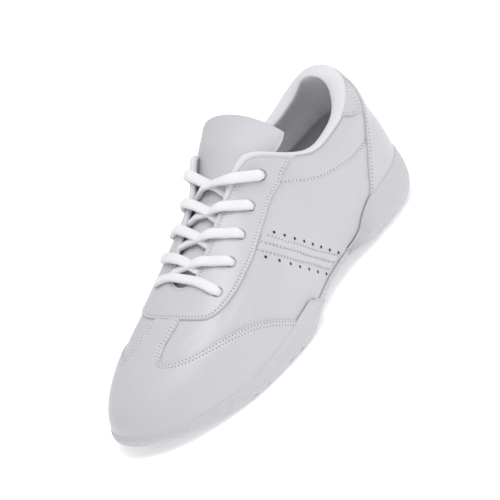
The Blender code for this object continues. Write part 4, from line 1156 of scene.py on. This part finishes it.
# %% Collar lining
def round_ring(points):
    """Closed smooth section: four points of a cubic between each two, by their neighbours."""
    before, after, next_after = np.roll(points, 1, 1), np.roll(points, -1, 1), np.roll(points, -2, 1)
    t = (np.arange(4) / 4)[None, None, :, None]
    a, b, c, d = (p[:, :, None] for p in (before, points, after, next_after))
    value = b + 0.5 * t * (c - a + t * (2 * a - 5 * b + 4 * c - d + t * (3 * (b - c) + d - a)))
    return value.reshape(len(points), -1, 3)


LINING_GAP, LINING, COVER = 0.0008, 0.0022, 0.0004
ROLL_END, ROLL_HEIGHT = 4.8, 0.0031
ROLL = ((0.25, 0.05, 1), (0.70, -0.12, 1), (0.95, -0.65, 0), (0.80, -1.24, 0), (0.35, -1.59, 0))


def edge_of(at):
    """Edge of the upper, its outward normal and the way up to it over the skin."""
    edge = skin(at, 1.0)
    return edge, bare_normal(at, 1.0), unit(edge - skin(at, 0.98))


def build_lining():
    """Section by section: down behind the wall, over the edge in a roll, and down the inside."""
    rows = np.linspace(-ROLL_END, ROLL_END, 260)
    at = round_heel(rows)
    roll = (ROLL_HEIGHT * (0.45 + 0.55 * ease((ROLL_END - np.abs(rows)) / 0.4)))[:, None]
    full = 1 + 0.9 * ease((3.6 - np.abs(rows)) / 2.2)
    behind = -(UPPER_WALL + LINING_GAP)
    edge, normal, climb = edge_of(at)
    points = [skin(at, up, behind) for up in (0.60, 0.74, 0.88, 0.97)]
    points += [edge - climb * 0.0006 - normal * 0.0010, edge - climb * 0.0007 + normal * COVER]
    for lift, out, share in ROLL:
        swell = full[:, None] if out < -0.5 else 1.0
        points.append(edge + climb * lift * roll + normal * (out * roll * swell + COVER * share))
    points += [skin(at, up, behind - depth * LINING * full)
               for up, depth in ((0.93, 1.6), (0.84, 1.6), (0.72, 1.3), (0.60, 0.8))]
    dark = np.zeros((len(rows), 4 * len(points)))
    # Painted shade: a darker band of the knit at the foot of the roll, against the leather's edge.
    dark[:, 18:23] = 0.35
    return surface("collar_pad", round_ring(np.stack(points, 1)), knit_fabric, ring=True, caps=True,
                   dark=dark)


def build_piping():
    """Knit cord that runs on from the collar roll, down one edge of the throat and up the other."""
    rows = np.linspace(4.50, LAST_ROW, 360)
    at, radius = both_sides(rows, 0.0020 - 0.0010 * ease((rows - 6.0) / 3.0))
    edge, normal, climb = edge_of(at)
    turn = (np.arange(14) * 2 * pi / 14)[None, :, None]
    middle = edge - normal * 0.0005 + climb * 0.0003
    points = middle[:, None] + radius[:, None, None] * (
        np.cos(turn) * climb[:, None] + np.sin(turn) * normal[:, None])
    return surface("throat_piping", points, knit_fabric, ring=True, caps=True)


collar = settle(build_lining(), "lining_fabric", "collar_lining")
settle(build_piping(), "lining_fabric", "collar_lining")

# %% [markdown]
# ## Lace
# One lace runs through all ten eyelets. Its middle is the bar over the front pair. From each
# bar end it dives through the eyelet, comes up inside the throat's edge, crosses the tongue and
# goes down through the next eyelet on the far side. The two halves cross over each other. The
# ends stay hidden under the top eyelets. A flat oval braid is carried along one smooth path.

# %% Lace route
LACE_WIDTH, LACE_THICKNESS = 0.0064, 0.0034
DIVE_WIDTHS = [0.95, 0.72, 0.6]
BAR_ARCH = ((0.25, 0.0062), (0.50, 0.0068), (0.75, 0.0060))


def lace_over(place, normal, lift=0.0013):
    """Centre of a lace that lies on the eyestay."""
    return place + normal * (lift + LACE_THICKNESS / 2)


def tongue_height(point):
    """Height of the tongue's top face below or above a point."""
    along, crown, half, drop, _, tilt, _ = tongue_values(np.linspace(0, 1, 400))
    behind = HEEL_REST - along * SOLE_LENGTH
    crown, half, drop, tilt = (np.interp(point[1], behind, v) for v in (crown, half, drop, tilt))
    side = point[0] / (half * TONGUE_WIDTH)
    return (crown - drop * side**2) * UPPER_HEIGHT - tilt * point[0]


def on_tongue(point, lift):
    """The point, raised until a lace there clears the tongue by its lift."""
    least = tongue_height(point) + LACE_THICKNESS * (0.55 + lift)
    return np.array([point[0], point[1], max(point[2], least)])


def between_eyelets(shares, low, share):
    """Point and normal of the throat's edge at a share of the way from one eyelet to the next."""
    at = np.array([shares[low] + share * (shares[low - 1] - shares[low])])
    return skin(at, 1.0)[0], bare_normal(at, 1.0)[0]


def dive(place, normal, ahead):
    """Last three points of a strand, over the eyestay and down its eyelet, and their faces."""
    route = [lace_over(place, normal) - ahead * 0.0024, place + normal * 0.0012 - ahead * 0.0002,
             place - normal * 0.0045 - ahead * 0.0004]
    return route, [normal, unit(normal + ahead), ahead]


def strand(low, start_inner, over):
    """Route points of one visible strand with the way that its flat side faces."""
    places, normals, shares = eyelet_places(start_inner)
    far_places, far_normals, far_shares = eyelet_places(not start_inner)
    under, under_normal = between_eyelets(shares, low, -0.10)
    across, across_normal = between_eyelets(far_shares, low, 0.15 if start_inner else 0.35)
    place, normal = far_places[low - 1], far_normals[low - 1]
    over_way = unit(across_normal + 0.6 * UPWARD)
    crest = lace_over(across, over_way, 0.0016)
    inward = unit(across - under)
    start = on_tongue(under + inward * 0.0012 - UPWARD * 0.0042, 0.02)
    lift = 0.80 if over else 0.02
    quarter = on_tongue(start * 0.72 + crest * 0.28, lift * 0.5)
    middle = on_tongue(start * 0.47 + crest * 0.53, lift)
    top = lace_over(place, normal)
    ahead = unit(top - crest)
    hidden = under - inward * 0.0040 - under_normal * 0.0040
    inside = (places[low] - normals[low] * 0.0050 + hidden) / 2
    down, down_faces = dive(place, normal, ahead)
    route = [inside, hidden, start, quarter, middle, crest, (crest + top) / 2] + down
    faces = [UPWARD] * 5 + [over_way, unit(over_way + normal)] + down_faces
    return route, faces, [0.7, 0.9] + [1.0] * 5 + DIVE_WIDTHS


def bar():
    """Route of the bar over the front pair of eyelets, from the inner to the outer one."""
    (place, normal), (other, other_normal) = (
        [column[-1] for column in eyelet_places(inner)[:2]] for inner in (True, False))
    ahead = unit(other - place)
    arch = [place * (1 - share) + other * share + UPWARD * lift for share, lift in BAR_ARCH]
    up, up_faces = dive(place, normal, -ahead)
    down, down_faces = dive(other, other_normal, ahead)
    return (up[::-1] + arch + down, up_faces[::-1] + [UPWARD] * 3 + down_faces,
            DIVE_WIDTHS[::-1] + [1.0] * 3 + DIVE_WIDTHS)


def lace_route():
    """All points from the hidden end at the one top eyelet to the other."""
    halves = []
    for first_inner in (True, False):
        half = ([], [], [])
        for low in range(4, 0, -1):
            side = first_inner == (low % 2 == 0)
            for joined, part in zip(half, strand(low, side, side != (low > 1))):
                joined += part
        halves.append(half)
    return [np.array(first[::-1] + middle + last)
            for first, middle, last in zip(halves[0], bar(), halves[1])]


def flowing(points, values, pitch):
    """Smooth line through route points: cubics by chord length, with values carried along.

    The slope at a point is the mean of the chords beside it, each weighed by the other's length.
    """
    length = distances(points)
    gaps = np.diff(length)
    chord = np.diff(points, axis=0) / gaps[:, None]
    slope = np.vstack([chord[:1], (chord[1:] * gaps[:-1, None] + chord[:-1] * gaps[1:, None])
                       / (gaps[1:] + gaps[:-1])[:, None], chord[-1:]])
    t = np.linspace(0, length[-1], int(length[-1] / pitch))
    carried = np.stack([np.interp(t, length, column) for column in values.T], 1)
    return hermite(t, length, points, slope), carried


def build_lace():
    route, facing, width = lace_route()
    path, carried = flowing(route, np.column_stack([facing, width]), 0.0009)
    along = unit(np.gradient(path, axis=0))
    across = unit(np.cross(along, carried[:, :3]))
    top = np.cross(across, along)
    turn = np.arange(20) * 2 * pi / 20
    wide, thick = (np.sign(wave) * np.abs(wave) ** 0.85 * size / 2 for wave, size in (
        (np.cos(turn), LACE_WIDTH), (np.sin(turn), LACE_THICKNESS)))
    scale = carried[:, 3][:, None, None]
    rings = (path[:, None] + across[:, None] * wide[None, :, None] * scale
             + top[:, None] * thick[None, :, None])
    made = surface("lace", rings, lace_braid, ring=True, caps=True)
    print("the lace is", round(distances(path)[-1], 3), "m long between its top eyelets")
    return made


settle(build_lace(), "lace_fabric", "lace_bar", *[f"lace_crossing_{n}" for n in range(1, 5)])

# %% [markdown]
# ## Stitches and perforations
# Every seam has short slanting stitches that dive into needle holes. One small bent capsule and one
# small dark disc of painted shade for the hole are copied along each line, as one mesh for each kind.


# %% Copies along a line
def stamp(template, at, up, lift, spots):
    """Copies of a template at distances along a line: x along it, y across, z out of the skin."""
    points = skin(at, up, lift)
    length = distances(points)
    along = unit(np.gradient(points, axis=0))
    normal = bare_normal(at, up)
    place, way, out = (np.stack([np.interp(spots, length, column) for column in values.T], 1)
                       for values in (points, along, normal))
    out, way = unit(out), unit(way)
    side = unit(np.cross(out, way))
    way = np.cross(side, out)
    return (place[:, None] + template[None, :, :1] * way[:, None]
            + template[None, :, 1:2] * side[:, None] + template[None, :, 2:] * out[:, None])


def stitch_template(length, radius):
    """Bent capsule: rings that shrink and sink towards both ends."""
    t = np.linspace(-1, 1, 5)[:, None]
    turn = np.arange(6)[None, :] * pi / 3
    girth = radius * np.sqrt(1 - 0.85 * t**2)
    sink = -radius * 1.2 * t**2
    return np.stack([t * length / 2 + 0 * turn, girth * np.cos(turn), girth * np.sin(turn) + sink], 2)


def disc_template(radius):
    """Middle point of an octagon and its eight corners."""
    turn = np.arange(8) * 2 * pi / 8
    rim = np.stack([np.cos(turn), np.sin(turn), 0 * turn], 1) * radius
    return np.vstack([np.zeros((1, 3)), rim])


DISC_FACES = np.array([(0, 1 + k, 2 + k, 1 + (k + 2) % 8) for k in range(0, 8, 2)])
STITCH_FACES = grid_faces(5, 6, ring=True)[0][:, ::-1]


def stamped(name, groups, faces, finish):
    """One mesh from groups of copies, each copy with the faces of its template."""
    points = np.concatenate(groups)
    count, each = points.shape[:2]
    all_faces = (faces[None] + np.arange(count)[:, None, None] * each).reshape(-1, 4)
    return write_mesh(name, points.reshape(-1, 3), all_faces, None, finish)


# %% Stitch rows
STITCH_RADIUS, NEEDLE_HOLE, HOLE_LIFT = 0.00036, 0.00027, 0.00006
SEAMS = []


def seam(at, up, lift, pitch=0.0021, thread=0.0017):
    """Adds a stitch row to the list of seams."""
    SEAMS.append((at, up, relief(at, up) + lift, pitch, thread))


panel_lift = PANEL - 0.0003
line = eyestay_line(900)
seam(*shifted(*line, -0.0018), panel_lift)
throat_rows = np.linspace(6.3, LAST_ROW, 300)
throat_at, throat_up = both_sides(throat_rows, np.ones(300))
seam(*shifted(*even_line(throat_at, throat_up - 0.001, 600), 0.0020), panel_lift)
for inner in (False, True):
    for distance in TOE_SEAMS:
        seam(*shifted(*toe_line(inner), distance), panel_lift, thread=0.0013)
    at, up = counter_side(inner, 300)
    seam(*shifted(at, up, 0.0018 if inner else -0.0018), panel_lift)
    seam(*lined(COLLAR_SEAM, inner), -0.0003, pitch=0.0026, thread=0.0020)
    for share in (0.0, 0.5, 1.0):
        seam(*band_line(share, inner, 200), 0.0002, pitch=0.0024, thread=0.0019)
seam(*shifted(*tab_line(400), -0.0015), panel_lift)


def build_stitches():
    threads, holes = [], []
    for at, up, lift, pitch, thread in SEAMS:
        spots = np.arange(pitch, distances(skin(at, up))[-1] - pitch / 2, pitch)
        stitch = stitch_template(thread, STITCH_RADIUS).reshape(-1, 3)
        threads.append(stamp(stitch, at, up, lift, spots))
        # Dark discs between the stitches: painted shade in the needle holes.
        holes.append(stamp(disc_template(NEEDLE_HOLE), at, up, lift + HOLE_LIFT, spots + pitch / 2))
    return [stamped("stitches", threads, STITCH_FACES, thread_white),
            stamped("needle_holes", holes, DISC_FACES, hole_shade)]


for made in build_stitches():
    settle(made, "white_leather")


# %% Perforations beside the bands
HOLES_ABOVE = ((6.56, 0.553), (6.00, 0.443), (5.41, 0.335), (4.90, 0.203), (4.50, 0.050))
HOLES_BELOW = ((7.22, 0.532), (6.77, 0.420), (6.24, 0.304), (5.67, 0.178), (5.17, 0.033))
PERFORATION, PERFORATION_LIFT = 0.00095, 0.00008


def build_perforations():
    groups = []
    for inner in (False, True):
        for table, count in ((HOLES_ABOVE, 8), (HOLES_BELOW, 7)):
            at, up = lined(table, inner)
            spots = np.linspace(0.0, 1.0, count) * distances(skin(at, up))[-1]
            lift = relief(at, up) + PERFORATION_LIFT
            # Each perforation is a flat near-black disc on the skin: painted shade, not a cut hole.
            groups.append(stamp(disc_template(PERFORATION), at, up, lift, spots))
    return stamped("perforations", groups, DISC_FACES, hole_shade)


settle(build_perforations(), "white_leather")
